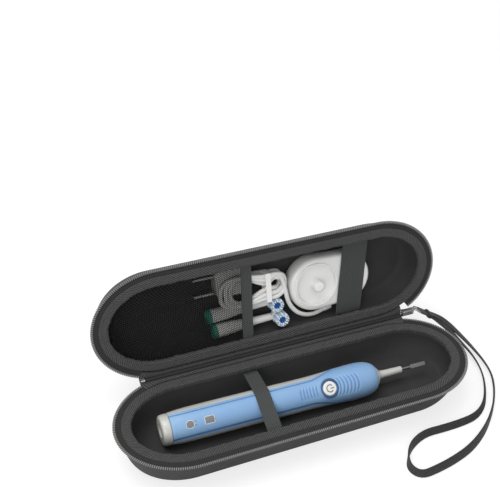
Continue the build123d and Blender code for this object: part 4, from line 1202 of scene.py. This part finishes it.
def handle_arc(name, spots, width, lift, thick=0.3):
    """Raised line on the handle's form or button: a rounded strip along spots of (s, side, height)."""
    points = on_handle(spots[:, 0], spots[:, 1], spots[:, 2] + lift)
    w, t = width / 2, thick / 2
    section = rounded([(-w, -t), (w, -t), (w, t), (-w, t)], 0.12, 3)
    return ribbon(name, points, np.cross(panel_out, cross_frames(points)), section)


# windows shaped as a plug and a cell, each with a pale rim
plug_at, cell_at = (18.8, 0.0), (32.6, 0.0)
for name, outline, low, high, *node in (
    ("charge_window_pipe", oblong(plug_at, 5.2, 4.8, 2.0), -1.7, 0.16, "charge_window"),
    ("charge_prong_a", oblong((22.4, -1.2), 2.4, 0.6, 0.2, 4), -1.0, 0.17),
    ("charge_prong_b", oblong((22.4, 1.2), 2.4, 0.6, 0.2, 4), -1.0, 0.17),
    ("battery_window_pipe", oblong(cell_at, 6.4, 4.6, 0.45), -1.7, 0.16, "battery_window"),
    ("battery_tip_pipe", oblong((36.2, 0.0), 0.9, 2.4, 0.3, 4), -1.0, 0.16),
):
    settle(on_skin(name, outline, low, high), "handle", "window", *node)
for name, outline in (("charge_rim", oblong(plug_at, 5.6, 5.2, 2.2)),
                      ("battery_rim", oblong(cell_at, 6.8, 5.0, 0.6))):
    loop = np.vstack([outline, outline[:1]])
    spots = np.c_[loop, skin_height(loop[:, 0], loop[:, 1])]
    settle(handle_arc(name, spots, 0.3, 0.1, 0.16), "handle", "button_white")

# power button in its moat, with the common power sign
top_at_button = float(skin_height(np.array([button_s]), 0.0)[0])


def on_button(height, side, back):
    """Maps (out along the button's axis, along the handle, across its panel) into the case."""
    return on_handle(button_s + side, back, height)


seal_ring = [(-1.8, 5.55), (-0.75, 5.6), (-0.5, 6.0), (-0.62, 6.7), (-0.9, 7.1), (-1.8, 7.1)]
button_shape = [(-2.5, 0.1), (-2.5, 5.1), (-1.15, 5.15), (-0.7, 5.05), (-0.4, 4.75), (-0.25, 4.3),
                (-0.25, 3.9), (-0.33, 3.5), (-0.24, 2.0), (-0.2, 0.1)]
seal_ring = np.array(seal_ring) + (top_at_button, 0)
button_shape = np.array(button_shape) + (top_at_button, 0)
settle(turned("button_moat", on_button, seal_ring, loop=True), "handle", "moat", "button_seal")
settle(turned("power_button_cap", on_button, button_shape), "power_button", "button_white", "power_button")
sign = np.radians(np.linspace(42, 318, 60))
bar = np.linspace(0.2, 3.0, 12)
sign_line = np.c_[button_s + 2.5 * np.cos(sign), 2.5 * np.sin(sign), np.full(60, top_at_button - 0.27)]
bar_line = np.c_[button_s + bar, 0 * bar, np.full(12, top_at_button - 0.26)]
for name, line in (("power_sign_arc", sign_line), ("power_sign_bar", bar_line)):
    settle(handle_arc(name, line, 0.75, 0.05), "power_button", "window")

# the two feet of the red signal, slivers at the handle's sides
foot_s = np.linspace(141.2, 144.8, 14)[:, None]
foot_turn = np.radians(np.linspace(82, 91, 7))
for side, name in ((1, "far"), (-1, "near")):
    high = handle_radius(foot_s) + np.where(np.arange(14)[:, None] % 13 == 0, -0.2, 0.3)
    skin, inner = (on_handle(foot_s, side * far * np.sin(foot_turn), far * np.cos(foot_turn))
                   for far in (high, high - 0.9))
    shape = np.concatenate([skin, inner[:, ::-1]], axis=1)
    foot = surface(f"signal_foot_{name}", shape, foot_s[:, 0], np.arange(15, dtype=float))
    settle(foot, "handle", "light_red")

# collar
collar = [(156, 1.35), (156, 4.9), (163.0, 4.9), (163.1, 6.6), (163.35, 6.8), (163.85, 6.65), (164.5, 5.7),
          (165.4, 4.4), (166.3, 3.5), (168.0, 2.95), (171, 2.66), (184.4, 2.42), (184.85, 2.3), (185.0, 2.0),
          (185.0, 1.35)]
settle(turned("neck_collar_skin", on_handle, collar, turns=56), "handle", "handle_white", "neck_collar")

# --- zip slider and its pull ---
slider_mid = 108.6


def plate(name, outline, low, high, place, round_off=0.35, sharp=40):
    """Closed plate: its outline drawn in where its two faces are rounded."""
    outline = np.asarray(outline, dtype=float)
    middle = outline.mean(axis=0)
    size = np.abs(outline - middle).max(axis=0)
    rows, r = [], round_off
    for draw, height in ((0.96, low), (r, low), (r * 0.3, low + 0.3 * r), (0, low + r),
                         (0, high - r), (r * 0.3, high - 0.3 * r), (r, high), (0.96, high)):
        share = draw if draw > 0.9 else draw / size
        ring = middle + (outline - middle) * (1 - share)
        rows.append(place(ring[:, 0], ring[:, 1], height + 0 * ring[:, 0]))
    grid = np.array(rows)
    return surface(name, grid, np.arange(8.0), closed(outline), sharp=sharp)


def at_slider(x, side, height):
    """Maps (along the zip, across it, above the zip plane) into the case."""
    return np.stack([x, half_width + side, shell_depth + height], axis=-1)


waist = np.linspace(-1, 1, 21)
slider_top = np.vstack([np.c_[slider_mid + 4.8 * waist, 1.75 + 0.6 * waist**2],
                        np.c_[slider_mid - 4.8 * waist, -1.75 - 0.6 * waist**2]])
slider_post = oblong((slider_mid, 0.0), 3.4, 1.6, 0.5)


def at_lug(x, height, side):
    """As at_slider, for a plate that stands upright."""
    return at_slider(x, side, height)


turn = np.linspace(-0.35 * pi, 0.85 * pi, 16)
lug = np.c_[pin_x + 1.75 * np.cos(turn), 4.4 + 1.75 * np.sin(turn)]
lug = np.vstack([lug, [(112.5, 4.6), (112.3, 3.6), (113.4, 3.4)]])
for name, *shape in (("slider_upper_wing", slider_top, 3.3, 4.55, at_slider),
                     ("slider_lower_wing", slider_top, 1.12, 2.2, at_slider),
                     ("slider_post", slider_post, 1.9, 3.6, at_slider, 0.2),
                     ("slider_lug", lug, -0.95, 0.95, at_lug, 0.3)):
    settle(plate(name, *shape), "base", "zip_metal", "zip_slider")

bail_half = [(0.0, -1.9), (1.5, -1.95), (3.0, -2.2), (4.4, -2.9), (5.2, -3.0), (5.4, -2.0)]
other_half = [(reach, -side) for reach, side in bail_half[::-1]]
bail_line = np.array([*bail_half, *other_half, (-0.1, 0.9), (-0.1, -0.9), bail_half[0]])
fine = np.linspace(0, 14, 90, endpoint=False)
wire = np.stack([np.interp(fine, np.arange(15), column) for column in bail_line.T], axis=1)
wire = sum(np.roll(wire, shift, axis=0) for shift in (0, 1, -1, 2, -2)) / 5
face_out = np.tile(pull_face, (len(wire), 1))
bail = ribbon("pull_bail_wire", on_pull(wire[:, 0], wire[:, 1], 0.0), face_out, wire_section(0.6), ring=True)
settle(bail, "pull_tab", "zip_metal", "pull_bail")

tab_section = rounded([(-3.3, -0.7), (3.3, -0.7), (3.3, 0.7), (-3.3, 0.7)], 0.4, 3)
tab_points = on_pull(np.linspace(4.9, 16.4, 60), 0.0, 0.0)
tab_wide = np.tile([0.0, 1.0, 0.0], (60, 1))
settle(ribbon("pull_webbing", tab_points, tab_wide, tab_section), "pull_tab", "webbing", "pull_tab")
knob = plate("pull_knob_rubber", oblong((17.8, 0.0), 4.5, 8.0, 1.3), -1.75, 1.75, on_pull, 0.6)
settle(knob, "pull_tab", "knob", "pull_knob")

# --- soft pieces ---
tuple(on_pull(20.0, 0.0, 0.0) * MM)
[tuple(spot) for spot in strap_path * MM]
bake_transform(strap)
tuple(lid_spot(*lead_gland) * MM)

# --- floor and light ---


def make_floor():
    """Large pale floor at the case's foot; white to the camera, with the case's shadow on it."""
    floor = link("floor", bpy.data.meshes.new("floor"))
    floor.data.from_pydata([(-4, -4, 0), (4, -4, 0), (4, 4, 0), (-4, 4, 0)], [], [(0, 1, 2, 3)])
    made = Finish("floor_paper", "#F6F6F6", 0.9)
    glow = made.node("Emission", {"Color": (1, 1, 1, 1), "Strength": 1.15})
    seen = made.node("LightPath", output="Is Camera Ray")
    paper = Wire(made, made.shader.outputs[0])
    blend = made.node("MixShader", {0: seen * 0.6, 1: paper, 2: glow})
    out = next(n for n in made.tree.nodes if n.type == "OUTPUT_MATERIAL")
    made.fill(out.inputs["Surface"], blend)
    floor.data.materials.append(made.material)


make_floor()


def softbox(name, spot, aim, size, power):
    """Square area lamp at a spot, facing an aim."""
    lamp = bpy.data.lights.new(name, "AREA")
    lamp.shape, lamp.size, lamp.energy = "SQUARE", size, power
    held = link(name, lamp)
    spot, aim = np.array(spot), np.array(aim)
    back = (spot - aim) / np.linalg.norm(spot - aim)
    right = np.cross([0.0, 0.0, 1.0], back) if abs(back[2]) < 0.99 else np.array([1.0, 0.0, 0.0])
    right /= np.linalg.norm(right)
    up = np.cross(back, right)
    stand(held, right, up, back, spot)


softbox("softbox_top", (-0.35, 0.25, 1.5), (0.0, 0.05, 0.03), 1.1, 13)
softbox("softbox_front", (-0.9, -1.1, 0.9), (0.0, 0.05, 0.06), 0.8, 9)

world = bpy.data.worlds.new("studio")
bpy.context.scene.world = world
world.use_nodes = True
world.node_tree.nodes["Background"].inputs["Color"].default_value = (1, 1, 1, 1)
world.node_tree.nodes["Background"].inputs["Strength"].default_value = 0.5
bpy.context.scene.view_settings.view_transform = "Standard"
